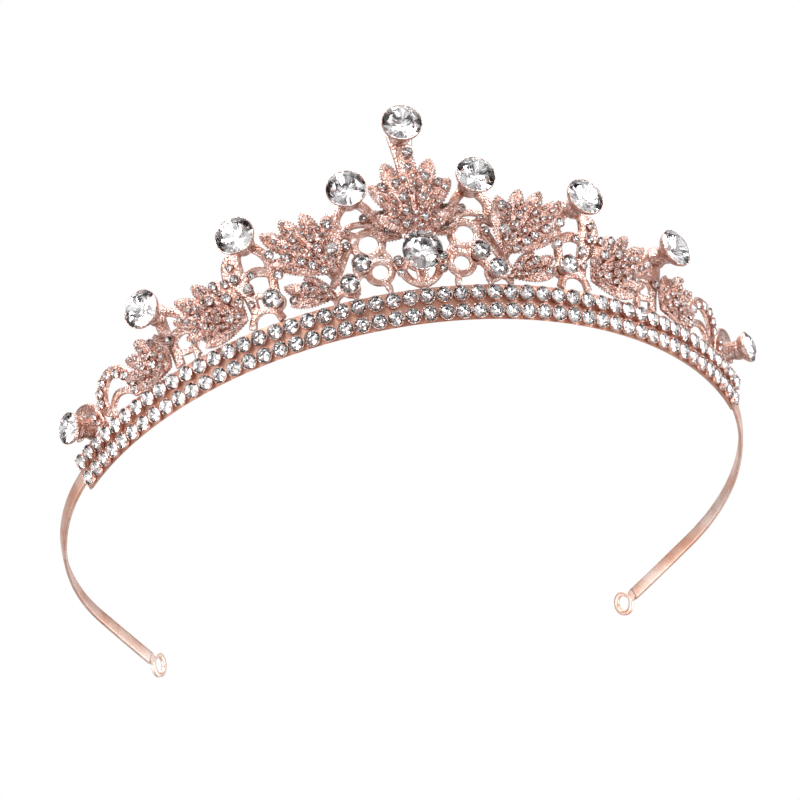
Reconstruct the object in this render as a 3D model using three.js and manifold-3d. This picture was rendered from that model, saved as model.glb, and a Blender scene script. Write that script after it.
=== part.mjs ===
// Bridal tiara: a sprung head strap with an end loop at each tail, a cast rail that carries two
// rows of cup-set stones, and a front of leaves, vines and claw-set crystals above the rail.
//
// Millimetres, +Z up, the front looks along -Y. The origin is the middle of the footprint, on
// the table that the tiara stands on.
//
// Everything on the front is drawn flat and then wrapped round the head:
//   u  along the strap's centre line, 0 at the middle of the forehead, + towards the wearer's left
//   y  up the leaning front, from the foot of the rail
//   d  outwards, away from the head, 0 on the strap's centre line
import * as THREE from 'three';
import { mergeVertices } from 'three/addons/utils/BufferGeometryUtils.js';
import Module from 'manifold-3d';

const wasm = await Module();
wasm.setup();

const DEGREE = Math.PI / 180;

// ---- Plan of the head strap: a wide arc at the front, a tighter one over each ear, straight tails
const FRONT_RADIUS = 74.5;
const FRONT_ARC_END = 89.2;
const EAR_RADIUS = 61.6;
const EAR_ARC_END = 142;
const STRAP_END = 165.2;
const STRAP_WIDTH = 2.8;
const STRAP_THICKNESS = 1;
const STRAP_MID_HEIGHT = 4.6;
const TAIL_DROP = 1.4;

// ---- Lean of the front and of the tails, from upright, outwards at the top
const FRONT_LEAN = 18 * DEGREE;
const TAIL_LEAN = -20 * DEGREE;

// ---- End loops
const LOOP_LENGTH = 7;
const LOOP_HEIGHT = 5.8;
const LOOP_HOLE_LENGTH = 4.6;
const LOOP_HOLE_HEIGHT = 2.9;
const LOOP_THICKNESS = 1.2;
const LOOP_NECK_INSET = 0.2;
const LOOP_NECK_FLARE = 1.2;

// ---- Rail and stone rows
const RAIL_HALF_LENGTH = 85;
const RAIL_THICKNESS = 0.9;
const RAIL_END_TAPER = 3;
const ROW_PITCH = 3.3;
const ROW_FOOT_MARGIN = 0.36;
const ROW_GAP = 0.5;
const ROW_LINK_OVERLAP = 0.06;
const ROW_CUP_DEPTH = 0.9;
const ROW_CROWN_HEIGHT = 0.6;
const ROW_CUP_SIDES = 6;
// A row cup's foot, as a share of its rim.
const ROW_FOOT_RADIUS = 1.1;

// ---- Thickness and gaps of the soldered layers
const JOINT_GAP = 0.1;
const LAYER_GAP = 0.3;
const VINE_THICKNESS = 1.2;
const LEAF_THICKNESS = 1;
const STATION_STEP = 3.3;

// ---- Crystals: radius at the girdle
const TOP_STONE_RADIUS = 4;
const END_STONE_RADIUS = 3.2;
const CENTRE_STONE_RADIUS = 4.1;
const SIDE_STONE_RADIUS = 1.95;
const GIRDLE_HALF = 0.12;
const SEAT_CLEARANCE = 0.15;
const CUP_WALL = 0.3;
const CUP_LIP = 0.1;
const FOOT_FLARE_OUT = 0.25;
const FOOT_FLARE_UP = 0.5;
const CLAW_WIDTH = 0.9;
const CLAW_THICKNESS = 0.5;
const CLAW_HEIGHT = 1.6;
const CLAW_BITE = 0.25;
const TOP_TILT = 12 * DEGREE;
const STONE_SIDES = 10;
const TOP_POST_REACH = 1.7939;
const CENTRE_GIRDLE_DEPTH = 6;
const SIDE_GIRDLE_DEPTH = 4.9;
const POST_RADIUS = 1.3;
const POST_SINK = 0.6;
const PAD_MARGIN = 0.6;
const CUP_FLOOR = 0.9;
// A brilliant's depth below its girdle, height above it and flat table, as shares of its radius.
const PAVILION_DEPTH = 0.62;
const CROWN_HEIGHT = 0.3;
const TABLE_RADIUS = 0.58;

// Heights of the stone rows on the rail, from its foot.
const rowRadius = ROW_PITCH / 2 + ROW_LINK_OVERLAP;
const lowerRowHeight = ROW_FOOT_MARGIN + rowRadius;
const upperRowHeight = lowerRowHeight + 2 * rowRadius + ROW_GAP;
const railHeight = upperRowHeight + rowRadius;

// Depths of the layers, worked out from the strap outwards.
const railBack = STRAP_THICKNESS / 2 + JOINT_GAP;
const railFront = railBack + RAIL_THICKNESS;
const rowBack = railFront + JOINT_GAP;
const vineBack = railBack;
const vineFront = vineBack + VINE_THICKNESS;
const lowLeafBack = vineFront + LAYER_GAP;
const highLeafBack = lowLeafBack + LEAF_THICKNESS + LAYER_GAP;
const topCupDepth = (radius) => radius * PAVILION_DEPTH + CUP_FLOOR;
const topGirdleDepth = lowLeafBack + TOP_POST_REACH + topCupDepth(TOP_STONE_RADIUS) * Math.cos(TOP_TILT);
const vineFoot = railHeight + JOINT_GAP;
// The rail's outer foot edge touches the table, so the flat design is lifted by what it leans out.
const footRise = railFront * Math.sin(FRONT_LEAN);

const ROSE_GOLD = { color: '#dfa48e', metalness: 1, roughness: 0.32 };
const DARK_ROSE_GOLD = { color: '#c98468', metalness: 1, roughness: 0.4 };
const CRYSTAL = { color: '#e9ecf0', metalness: 0, roughness: 0.05 };

const tiara = new THREE.Group();

// ---------------------------------------------------------------- the curve round the head

function strapPlan(u) {
  const along = Math.abs(u);
  const side = Math.sign(u);
  const frontTurn = Math.min(along, FRONT_ARC_END) / FRONT_RADIUS;
  let x = FRONT_RADIUS * Math.sin(frontTurn);
  let y = FRONT_RADIUS * (1 - Math.cos(frontTurn));
  const earTurn = Math.max(0, Math.min(along, EAR_ARC_END) - FRONT_ARC_END) / EAR_RADIUS;
  const heading = frontTurn + earTurn;
  x += EAR_RADIUS * (Math.sin(heading) - Math.sin(frontTurn));
  y += EAR_RADIUS * (Math.cos(frontTurn) - Math.cos(heading));
  const tail = Math.max(0, along - EAR_ARC_END);
  x += tail * Math.cos(heading);
  y += tail * Math.sin(heading);
  return { x: side * x, y, heading: side * heading };
}

// How far a place is from the rail's end, 0, to the strap's end, 1.
function tailShare(u) {
  return THREE.MathUtils.smoothstep(Math.abs(u), RAIL_HALF_LENGTH, STRAP_END);
}

// The front leans out with the forehead. Past the rail the strap twists to lean in at its tails.
function leanAt(u) {
  return THREE.MathUtils.lerp(FRONT_LEAN, TAIL_LEAN, tailShare(u));
}

function wrapPoint(u, y, d) {
  const plan = strapPlan(u);
  const lean = leanAt(u);
  // The strap twists about its own middle, which falls a little towards the tails.
  const above = y - STRAP_MID_HEIGHT;
  const middleHeight = STRAP_MID_HEIGHT * Math.cos(FRONT_LEAN) - TAIL_DROP * tailShare(u);
  const out = above * Math.sin(lean) + STRAP_MID_HEIGHT * Math.sin(FRONT_LEAN) + d * Math.cos(lean);
  return new THREE.Vector3(
    plan.x + Math.sin(plan.heading) * out,
    plan.y - Math.cos(plan.heading) * out,
    footRise + middleHeight + above * Math.cos(lean) - d * Math.sin(lean),
  );
}

function wrapGeometry(geometry) {
  const position = geometry.attributes.position;
  for (let i = 0; i < position.count; i += 1) {
    const p = wrapPoint(position.getX(i), position.getY(i), position.getZ(i));
    position.setXYZ(i, p.x, p.y, p.z);
  }
  geometry.deleteAttribute('normal');
  geometry.deleteAttribute('uv');
  geometry.computeVertexNormals();
  return geometry;
}

// ---------------------------------------------------------------- solids, joins and mirrors

function toSolid(geometry) {
  const bare = geometry.clone();
  bare.deleteAttribute('normal');
  bare.deleteAttribute('uv');
  const merged = mergeVertices(bare, 1e-4);
  // Faces that shrank to a line where an outline closes on itself are left out.
  const corners = [];
  for (let i = 0; i < merged.index.count; i += 3) {
    const [a, b, c] = [0, 1, 2].map((k) => merged.index.getX(i + k));
    if (a !== b && b !== c && c !== a) corners.push(a, b, c);
  }
  return new wasm.Manifold(new wasm.Mesh({
    numProp: 3,
    vertProperties: Float32Array.from(merged.attributes.position.array),
    triVerts: Uint32Array.from(corners),
  }));
}

function toGeometry(solid) {
  const mesh = solid.getMesh();
  const geometry = new THREE.BufferGeometry();
  geometry.setAttribute('position', new THREE.BufferAttribute(mesh.vertProperties, 3));
  geometry.setIndex(new THREE.BufferAttribute(mesh.triVerts, 1));
  geometry.computeVertexNormals();
  return geometry;
}

function joined(geometries) {
  const solids = geometries.map(toSolid);
  return toGeometry(solids.reduce((whole, next) => whole.add(next)));
}

// Whatever would dip below the rail's top edge is filed off level, so a vine's feet stand on it.
function stoodOnRail(geometry) {
  const below = new THREE.BoxGeometry(2 * RAIL_HALF_LENGTH, railHeight, railHeight)
    .translate(0, vineFoot - railHeight / 2, vineBack);
  return toGeometry(toSolid(geometry).subtract(toSolid(below)));
}

function mirrored(geometry) {
  const copy = geometry.index ? geometry.toNonIndexed() : geometry.clone();
  const position = copy.attributes.position;
  for (let i = 0; i < position.count; i += 3) {
    const second = [position.getX(i + 1), position.getY(i + 1), position.getZ(i + 1)];
    position.setXYZ(i, -position.getX(i), position.getY(i), position.getZ(i));
    position.setXYZ(i + 1, -position.getX(i + 2), position.getY(i + 2), position.getZ(i + 2));
    position.setXYZ(i + 2, -second[0], second[1], second[2]);
  }
  copy.computeVertexNormals();
  return copy;
}

function addMesh(name, geometry, finish) {
  const mesh = new THREE.Mesh(geometry, new THREE.MeshStandardMaterial(finish));
  mesh.name = name;
  tiara.add(mesh);
  return mesh;
}

// A flat casting bent round the head. Its mirror image stands on the other side.
function addPair(name, flatGeometry, finish) {
  addMesh(`${name}_left`, wrapGeometry(mirrored(flatGeometry)), finish);
  addMesh(`${name}_right`, wrapGeometry(flatGeometry.clone()), finish);
}

function addVinePair(name, vines, finish) {
  addPair(name, stoodOnRail(joined(vines)), finish);
}

// A rigid piece set on the leaning front: its own +Z points outwards and its +Y up the slope.
function seat(mesh, u, y, d, tilt) {
  const origin = wrapPoint(u, y, d);
  const heading = strapPlan(u).heading;
  const lean = leanAt(u);
  const outward = new THREE.Vector3(
    Math.sin(heading) * Math.cos(lean), -Math.cos(heading) * Math.cos(lean), -Math.sin(lean));
  const sideways = new THREE.Vector3(Math.cos(heading), Math.sin(heading), 0);
  const upward = new THREE.Vector3().crossVectors(outward, sideways);
  mesh.quaternion.setFromRotationMatrix(new THREE.Matrix4().makeBasis(sideways, upward, outward));
  mesh.rotateX(-tilt);
  mesh.position.copy(origin);
}

// ---------------------------------------------------------------- flat shapes, drawn above the rail

// A ribbon of metal along a smooth line of [u, height above the rail, width] points.
function ribbon(stations, steps = 10) {
  const curve = new THREE.CatmullRomCurve3(stations.map(([u, v]) => new THREE.Vector3(u, v, 0)));
  const widthAt = (t) => {
    const place = t * (stations.length - 1);
    const i = Math.min(Math.floor(place), stations.length - 2);
    return THREE.MathUtils.lerp(stations[i][2], stations[i + 1][2], place - i);
  };
  const leftSide = [];
  const rightSide = [];
  for (let i = 0; i <= steps; i += 1) {
    const t = i / steps;
    const point = curve.getPoint(t);
    const tangent = curve.getTangent(t);
    const half = widthAt(t) / 2;
    leftSide.push(new THREE.Vector2(point.x - tangent.y * half, point.y + tangent.x * half));
    rightSide.push(new THREE.Vector2(point.x + tangent.y * half, point.y - tangent.x * half));
  }
  return new THREE.Shape([...rightSide, ...leftSide.reverse()]);
}

function disc(u, v, radius) {
  const shape = new THREE.Shape();
  shape.absarc(u, v, radius, 0, 2 * Math.PI, false);
  return shape;
}

function ring(u, v, innerAcross, innerUp, rim) {
  const shape = new THREE.Shape();
  shape.absellipse(u, v, innerAcross + rim, innerUp + rim, 0, 2 * Math.PI, false, 0);
  const hole = new THREE.Path();
  hole.absellipse(u, v, innerAcross, innerUp, 0, 2 * Math.PI, true, 0);
  shape.holes.push(hole);
  return shape;
}

// A leaf whose lobes fan out from its base. Each lobe is [turn from +u in degrees, reach, half width].
// The two outer edges swell to shoulders. Between lobes the edge runs from tip to notch and on to the
// next tip, and each lobe keeps to its own side of the notch, so the outline never crosses itself.
const LOBE_SHOULDER = 0.68;
const LOBE_FULLNESS = 1.9;
const LOBE_NOTCH = 0.84;
const LOBE_SIDE_REACH = 0.93;
const LOBE_SIDE_TURN = 0.8;

function lobedLeaf(baseU, baseV, lobes) {
  const reachPoint = (turn, reach, aside = 0) => new THREE.Vector2(
    baseU + Math.cos(turn * DEGREE) * reach - Math.sin(turn * DEGREE) * aside,
    baseV + Math.sin(turn * DEGREE) * reach + Math.cos(turn * DEGREE) * aside);
  const sideControl = ([turn, reach], notchTurn) => reachPoint(
    THREE.MathUtils.lerp(turn, notchTurn, LOBE_SIDE_TURN), reach * LOBE_SIDE_REACH);
  const curveTo = (shape, control, end) => shape.quadraticCurveTo(control.x, control.y, end.x, end.y);
  const [first, last] = [lobes[0], lobes[lobes.length - 1]];
  const shape = new THREE.Shape();
  shape.moveTo(baseU, baseV);
  curveTo(shape, reachPoint(first[0], first[1] * LOBE_SHOULDER, -first[2] * LOBE_FULLNESS),
    reachPoint(first[0], first[1]));
  lobes.slice(1).forEach((next, i) => {
    const lobe = lobes[i];
    const notchTurn = (lobe[0] + next[0]) / 2;
    curveTo(shape, sideControl(lobe, notchTurn),
      reachPoint(notchTurn, Math.min(lobe[1], next[1]) * LOBE_NOTCH));
    curveTo(shape, sideControl(next, notchTurn), reachPoint(next[0], next[1]));
  });
  curveTo(shape, reachPoint(last[0], last[1] * LOBE_SHOULDER, last[2] * LOBE_FULLNESS),
    new THREE.Vector2(baseU, baseV));
  return shape;
}

// A cast plate: a flat outline drawn above the rail, as thick as its layer.
function plate(shape, back, thickness, curveSegments = 5) {
  const geometry = new THREE.ExtrudeGeometry(shape, {
    depth: thickness, bevelEnabled: false, curveSegments, steps: 1,
  });
  return geometry.translate(0, vineFoot, back);
}

const vine = (shape) => plate(shape, vineBack, VINE_THICKNESS);

// ---------------------------------------------------------------- turned pieces

function lathe(profile, sides) {
  const points = profile.map(([radius, height]) => new THREE.Vector2(radius, height));
  return new THREE.LatheGeometry(points, sides).rotateX(Math.PI / 2);
}

// A round brilliant-cut crystal: its girdle lies at z = 0 and its table looks along +Z.
function crystal(radius) {
  return lathe([
    [0, -radius * PAVILION_DEPTH], [radius, -GIRDLE_HALF], [radius, GIRDLE_HALF],
    [radius * TABLE_RADIUS, radius * CROWN_HEIGHT], [0, radius * CROWN_HEIGHT],
  ], STONE_SIDES);
}

// An open cup whose inside follows the crystal's back, with its rim just above the girdle.
function cup(radius, depth, footRadius) {
  const inner = radius + SEAT_CLEARANCE;
  const outer = inner + CUP_WALL;
  return lathe([
    [0, -depth], [footRadius, -depth],
    [footRadius + FOOT_FLARE_OUT, -depth + FOOT_FLARE_UP], [outer, -GIRDLE_HALF],
    [outer, GIRDLE_HALF + CUP_LIP], [inner, GIRDLE_HALF + CUP_LIP],
    [inner, -GIRDLE_HALF - SEAT_CLEARANCE], [0, -radius * PAVILION_DEPTH - 3 * SEAT_CLEARANCE],
  ], STONE_SIDES);
}

// ---------------------------------------------------------------- head strap and end loops

function bentStrip(halfLength, stripHeight, thickness, midHeight, midDepth) {
  const stations = 2 * Math.ceil(halfLength / STATION_STEP);
  const strip = new THREE.BoxGeometry(2 * halfLength, stripHeight, thickness, stations, 1, 1);
  return strip.translate(0, midHeight, midDepth);
}

const strap = bentStrip(STRAP_END, STRAP_WIDTH, STRAP_THICKNESS, STRAP_MID_HEIGHT, 0);
addMesh('head_strap', wrapGeometry(strap), ROSE_GOLD);

// Each tail ends in a flat tear-drop loop whose neck is butted and soldered to the strap.
function loopShape() {
  const neck = STRAP_END + JOINT_GAP;
  const tip = neck + LOOP_LENGTH;
  const middle = tip - LOOP_LENGTH * 0.45;
  const shape = new THREE.Shape();
  const neckHalf = STRAP_WIDTH / 2 - LOOP_NECK_INSET;
  shape.moveTo(neck, neckHalf);
  shape.lineTo(neck, -neckHalf);
  shape.quadraticCurveTo(neck + LOOP_NECK_FLARE, -LOOP_HEIGHT / 2, middle, -LOOP_HEIGHT / 2);
  shape.quadraticCurveTo(tip, -LOOP_HEIGHT / 2, tip, 0);
  shape.quadraticCurveTo(tip, LOOP_HEIGHT / 2, middle, LOOP_HEIGHT / 2);
  shape.quadraticCurveTo(neck + LOOP_NECK_FLARE, LOOP_HEIGHT / 2, neck, neckHalf);
  const hole = new THREE.Path();
  hole.absellipse(middle, 0, LOOP_HOLE_LENGTH / 2, LOOP_HOLE_HEIGHT / 2, 0, 2 * Math.PI, true, 0);
  shape.holes.push(hole);
  return shape;
}

const loop = new THREE.ExtrudeGeometry(loopShape(), {
  depth: LOOP_THICKNESS, bevelEnabled: false, curveSegments: 6, steps: 1,
}).translate(0, STRAP_MID_HEIGHT, -LOOP_THICKNESS / 2);
addPair('end_loop', joined([loop]), ROSE_GOLD);

// ---------------------------------------------------------------- rail with its flat foot

// The rail's foot is lapped flat, so the tiara stands on it. Its ends slope down to the strap.
function railGeometry() {
  const rail = bentStrip(RAIL_HALF_LENGTH, railHeight, RAIL_THICKNESS, railHeight / 2,
    railBack + RAIL_THICKNESS / 2);
  const position = rail.attributes.position;
  const shoulder = RAIL_HALF_LENGTH - RAIL_END_TAPER;
  for (let i = 0; i < position.count; i += 1) {
    const past = Math.max(0, Math.abs(position.getX(i)) - shoulder) / RAIL_END_TAPER;
    if (position.getY(i) > railHeight / 2) {
      position.setY(i, railHeight - past * (railHeight - STRAP_MID_HEIGHT - STRAP_WIDTH / 2));
    } else {
      position.setY(i, (position.getZ(i) - railFront) * Math.tan(FRONT_LEAN));
    }
  }
  return rail;
}

addMesh('front_rail', wrapGeometry(railGeometry()), ROSE_GOLD);

// ---------------------------------------------------------------- the two rows of cup-set stones

// Each row is one chain of cups, each closed by its stone. Neighbours touch at a corner and are joined.
function stoneRow(rowHeight) {
  const reach = Math.floor((RAIL_HALF_LENGTH - rowRadius) / ROW_PITCH);
  const cups = [];
  for (let i = -reach; i <= reach; i += 1) {
    const one = lathe([
      [0, 0], [rowRadius * ROW_FOOT_RADIUS, 0], [rowRadius, ROW_CUP_DEPTH / 2], [rowRadius, ROW_CUP_DEPTH],
      [rowRadius * TABLE_RADIUS, ROW_CUP_DEPTH + ROW_CROWN_HEIGHT], [0, ROW_CUP_DEPTH + ROW_CROWN_HEIGHT],
    ], ROW_CUP_SIDES);
    one.rotateZ(Math.PI / ROW_CUP_SIDES).translate(i * ROW_PITCH, rowHeight, rowBack);
    cups.push(wrapGeometry(one));
  }
  return joined(cups);
}

addMesh('lower_stone_row', stoneRow(lowerRowHeight), CRYSTAL);
addMesh('upper_stone_row', stoneRow(upperRowHeight), CRYSTAL);

// ---------------------------------------------------------------- where the crystals stand

// u, height above the rail, girdle radius
const topStones = [
  { name: 'centre', u: 0, v: 33.3, radius: TOP_STONE_RADIUS },
  { name: '1', u: 10.9, v: 21.2, radius: TOP_STONE_RADIUS },
  { name: '2', u: 30.9, v: 18.3, radius: TOP_STONE_RADIUS },
  { name: '3', u: 51.2, v: 13, radius: TOP_STONE_RADIUS },
  { name: '4', u: 76.5, v: 2.4, radius: END_STONE_RADIUS },
];
const sideStones = [
  { name: '1', u: 10.9, v: 6 },
  { name: '2', u: 13.8, v: 2.3 },
  { name: '3', u: 28, v: 3.9 },
];
const centreStone = { u: 0, v: 6.4 };
// Each setting is soldered to a round pad that is wider than its post.
const PAD_RADIUS = POST_RADIUS + PAD_MARGIN;

// ---------------------------------------------------------------- vines: the open cast frames

// The centre stem: a spine up to the top crystal, with a fan of arms under the big stone.
function centreStem() {
  const parts = [
    vine(ribbon([[0, 0, 1.6], [0, 16, 1.8], [0, topStones[0].v, 2.2]], 4)),
    vine(disc(0, topStones[0].v, PAD_RADIUS)),
    vine(disc(centreStone.u, centreStone.v, 3)),
  ];
  for (const side of [-1, 1]) {
    parts.push(vine(ribbon([[side * 0.3, 0.5, 1], [side * 2.4, 1.9, 1.1], [side * 4, 4.4, 1.4]], 6)));
    parts.push(vine(disc(side * 3.7, 4.9, 1.3)));
  }
  return joined(parts);
}

addMesh('centre_stem', wrapGeometry(stoodOnRail(centreStem())), DARK_ROSE_GOLD);

// Rings and struts between the centre and the first leaf, carrying top crystal 1.
function innerVine() {
  const [one, two] = sideStones;
  const top = topStones[1];
  return [
    ring(9, 10.7, 1.9, 1.9, 0.9),
    ring(7.8, 4.6, 1.6, 1.6, 0.9),
    ribbon([[6.9, 0, 1.4], [6.7, 1.2, 1], [7.2, 2.6, 1]], 4),
    ribbon([[5.7, 5, 0.9], [5.7, 7, 0.9], [6.8, 9, 1]], 5),
    disc(one.u, one.v, PAD_RADIUS),
    disc(two.u, two.v, PAD_RADIUS),
    ribbon([[one.u, one.v, 1.2], [10.4, 8.6, 1]], 2),
    ribbon([[one.u, one.v, 1.2], [two.u, two.v, 1.2]], 2),
    ribbon([[two.u, two.v, 1], [two.u - 1.2, 0, 1.4]], 3),
    ribbon([[two.u, two.v, 1], [16.4, 1.4, 1], [17.6, 0, 1.4]], 4),
    ribbon([[7.4, 12.8, 1.2], [7.4, 15.6, 1.3], [8.3, 18.4, 1.4], [top.u, top.v, 1.6]], 8),
    ribbon([[10.6, 12.6, 1.2], [13.4, 14.4, 1.3], [13.9, 17.4, 1.4], [top.u, top.v, 1.6]], 8),
    ribbon([[7.6, 14.8, 1], [10.6, 15.3, 1], [13.4, 14.6, 1]], 4),
    disc(top.u, top.v, PAD_RADIUS),
    ribbon([[two.u, two.v, 1.2], [16.6, 6.2, 1.2], [19.4, 11.4, 1.1], [22.4, 16.4, 0.9]], 8),
    ribbon([[top.u + 1.4, top.v - 1, 1.2], [15.2, 17.2, 1.4], [15.9, 14.6, 1.2], [14.9, 12.8, 1.1],
      [13.4, 13.6, 1]], 8),
    ribbon([[10.9, 12, 1.2], [12.9, 10.9, 1.5], [14.3, 8.4, 1.4], [15.6, 6, 1.3], [17.2, 3.4, 1]], 8),
  ].map(vine);
}

addVinePair('inner_vine', innerVine(), DARK_ROSE_GOLD);

// An arch on the rail and two struts, carrying top crystal 2 between the large leaves.
function middleVine() {
  const bezel = sideStones[2];
  const top = topStones[2];
  return [
    ribbon([[27.6, 0, 1.3], [28.6, 2.4, 1.1], [30.9, 3.3, 1.1], [33, 2.4, 1.1], [34, 0, 1.3]], 10),
    disc(bezel.u, bezel.v, PAD_RADIUS),
    ribbon([[bezel.u, bezel.v, 1.4], [27.6, 9, 1.3], [27.8, 14, 1.3], [top.u, top.v, 1.6]], 8),
    ribbon([[32.4, 2.8, 1.4], [32.7, 7, 1.8], [33.6, 12, 1.9], [33.2, 16, 1.6], [top.u, top.v, 1.6]], 10),
    ribbon([[27.7, 10.4, 1.3], [30.5, 11.6, 1.6], [33.4, 10.8, 1.3]], 5),
    ribbon([[bezel.u, bezel.v, 1.2], [30.6, 6.4, 1], [32.8, 6.6, 1]], 4),
    ribbon([[32.9, 7, 1.2], [35.2, 10.4, 2], [35.4, 14.6, 1.6], [34.4, 17, 0.6]], 8),
    disc(top.u, top.v, PAD_RADIUS),
  ].map(vine);
}

addVinePair('middle_vine', middleVine(), DARK_ROSE_GOLD);

// Two open eyes beside a broad strut, carrying top crystal 3.
function outerVine() {
  const top = topStones[3];
  return [
    ring(47.7, 4.4, 2, 1.6, 0.9),
    ribbon([[46, 0, 1.4], [46.2, 1.6, 1.1], [46.6, 2.8, 1]], 4),
    ribbon([[50.4, 0, 1.6], [50.5, 4, 1.6], [51.2, 8.5, 1.9], [top.u, top.v, 2]], 8),
    ribbon([[46, 5.6, 1.1], [46.3, 8.8, 1.2], [48.3, 11.4, 1.3], [top.u, top.v, 1.6]], 8),
    ribbon([[46.2, 6.8, 1], [48.4, 7.3, 1], [50.9, 6.6, 1]], 4),
    disc(top.u, top.v, PAD_RADIUS),
  ].map(vine);
}

addVinePair('outer_vine', outerVine(), DARK_ROSE_GOLD);

// ---------------------------------------------------------------- leaves

function addLeafPair(name, baseU, baseV, lobes, back) {
  addPair(name, joined([plate(lobedLeaf(baseU, baseV, lobes), back, LEAF_THICKNESS, 3)]), ROSE_GOLD);
}

const centreLeaf = plate(
  lobedLeaf(0, 10.4, [[38, 8.6, 1.7], [59, 13.6, 2.2], [76, 16.4, 2], [90, 18.3, 2.2],
    [104, 16.4, 2], [121, 13.6, 2.2], [142, 8.6, 1.7]]),
  highLeafBack, LEAF_THICKNESS, 3);
addMesh('centre_leaf', wrapGeometry(joined([centreLeaf])), ROSE_GOLD);

addLeafPair('petal', 2.6, 10.6, [[20, 5.8, 1.5], [50, 8.8, 1.9]], lowLeafBack);
addLeafPair('maple_leaf', 15.4, 5.4,
  [[26, 13, 1.8], [46, 17, 2.1], [60, 16, 2.1], [74, 14.6, 2], [91, 12.6, 1.9]], highLeafBack);
addLeafPair('trailing_leaf', 16.4, 1.6, [[4, 9.2, 1.3], [27, 10.6, 1.5], [48, 8, 1.2]], lowLeafBack);
addLeafPair('side_leaf', 34, 3,
  [[-8, 9.6, 1.5], [20, 13.6, 1.9], [37, 14.6, 1.9], [52, 13.2, 1.9], [68, 10.4, 1.7]], lowLeafBack);
addLeafPair('outer_leaf', 52.4, 1.4, [[12, 7.4, 1.3], [38, 9.6, 1.6], [64, 9.2, 1.6]], lowLeafBack);

// ---------------------------------------------------------------- scrolls and end curls

const scroll = [
  ribbon([[61.6, 0, 1.6], [61.4, 3, 1.9], [63.2, 6.6, 2], [66.6, 8.2, 2], [69.8, 6.2, 2],
    [70.9, 3, 1.9], [69.4, 0.9, 1.6]], 14),
  ribbon([[61.6, 0.6, 1], [63.6, 2.6, 1.1], [66.4, 3.4, 1.2], [68.4, 2.2, 1], [69.4, 0.9, 1.2]], 10),
  ribbon([[68.6, 0, 1.2], [69.4, 1, 1.4]], 2),
].map(vine);
addVinePair('scroll', scroll, ROSE_GOLD);

const endStone = topStones[4];
const curl = [
  ribbon([[73, 0, 1.4], [73.4, 2.6, 1.8], [75, 5.2, 2.2], [endStone.u + 1.4, 6.2, 2],
    [80.4, 4.6, 1.6], [81.2, 2, 1.2]], 12),
  ribbon([[74.4, 4.2, 1.4], [endStone.u, endStone.v, 1.6]], 2),
  disc(endStone.u, endStone.v, PAD_RADIUS),
].map(vine);
addVinePair('end_curl', curl, ROSE_GOLD);

// ---------------------------------------------------------------- crystals and their settings

// A flared cup that tips its crystal up, on a short post that stands off the vine behind it.
function topSetting(radius) {
  const cupDepth = topCupDepth(radius);
  const tipped = cup(radius, cupDepth, POST_RADIUS + CUP_WALL).rotateX(-TOP_TILT);
  const behind = topGirdleDepth - lowLeafBack;
  const postLength = behind - cupDepth * Math.cos(TOP_TILT) + POST_SINK;
  const post = new THREE.CylinderGeometry(POST_RADIUS, POST_RADIUS, postLength, STONE_SIDES)
    .rotateX(Math.PI / 2)
    .translate(0, -(cupDepth - POST_SINK) * Math.sin(TOP_TILT), postLength / 2 - behind);
  return joined([tipped, post]);
}

for (const { name, u, v, radius } of topStones) {
  for (const side of u === 0 ? [0] : [-1, 1]) {
    const label = u === 0 ? name : `${side < 0 ? 'left' : 'right'}_${name}`;
    const height = vineFoot + v;
    seat(addMesh(`top_setting_${label}`, topSetting(radius), DARK_ROSE_GOLD),
      side * u, height, topGirdleDepth, 0);
    seat(addMesh(`top_crystal_${label}`, crystal(radius), CRYSTAL),
      side * u, height, topGirdleDepth, TOP_TILT);
  }
}

// The big centre stone sits in a low cup with four claws bent over its crown.
function clawSetting(radius, girdleDepth) {
  const basket = cup(radius, girdleDepth - lowLeafBack, radius * TABLE_RADIUS);
  const claws = [];
  for (let i = 0; i < 4; i += 1) {
    const claw = new THREE.BoxGeometry(CLAW_WIDTH, CLAW_THICKNESS, CLAW_HEIGHT)
      .translate(0, radius + SEAT_CLEARANCE + CLAW_THICKNESS / 2, CLAW_HEIGHT / 2 - CLAW_BITE)
      .rotateZ((i + 0.5) * Math.PI / 2);
    claws.push(claw);
  }
  return joined([basket, ...claws]);
}

const centreHeight = vineFoot + centreStone.v;
seat(addMesh('centre_setting', clawSetting(CENTRE_STONE_RADIUS, CENTRE_GIRDLE_DEPTH), DARK_ROSE_GOLD),
  0, centreHeight, CENTRE_GIRDLE_DEPTH, 0);
seat(addMesh('centre_crystal', crystal(CENTRE_STONE_RADIUS), CRYSTAL),
  0, centreHeight, CENTRE_GIRDLE_DEPTH, 0);

for (const { name, u, v } of sideStones) {
  for (const side of [-1, 1]) {
    const label = `${side < 0 ? 'left' : 'right'}_${name}`;
    const setting = cup(SIDE_STONE_RADIUS, SIDE_GIRDLE_DEPTH - lowLeafBack, POST_RADIUS);
    seat(addMesh(`side_setting_${label}`, setting, DARK_ROSE_GOLD),
      side * u, vineFoot + v, SIDE_GIRDLE_DEPTH, 0);
    seat(addMesh(`side_crystal_${label}`, crystal(SIDE_STONE_RADIUS), CRYSTAL),
      side * u, vineFoot + v, SIDE_GIRDLE_DEPTH, 0);
  }
}

// ---------------------------------------------------------------- origin

// The origin goes to the middle of the footprint, with the rail's foot at z = 0.
const bounds = new THREE.Box3().setFromObject(tiara, true);
const middle = bounds.getCenter(new THREE.Vector3());
tiara.position.set(-middle.x, -middle.y, -bounds.min.z);

export default tiara;
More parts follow.
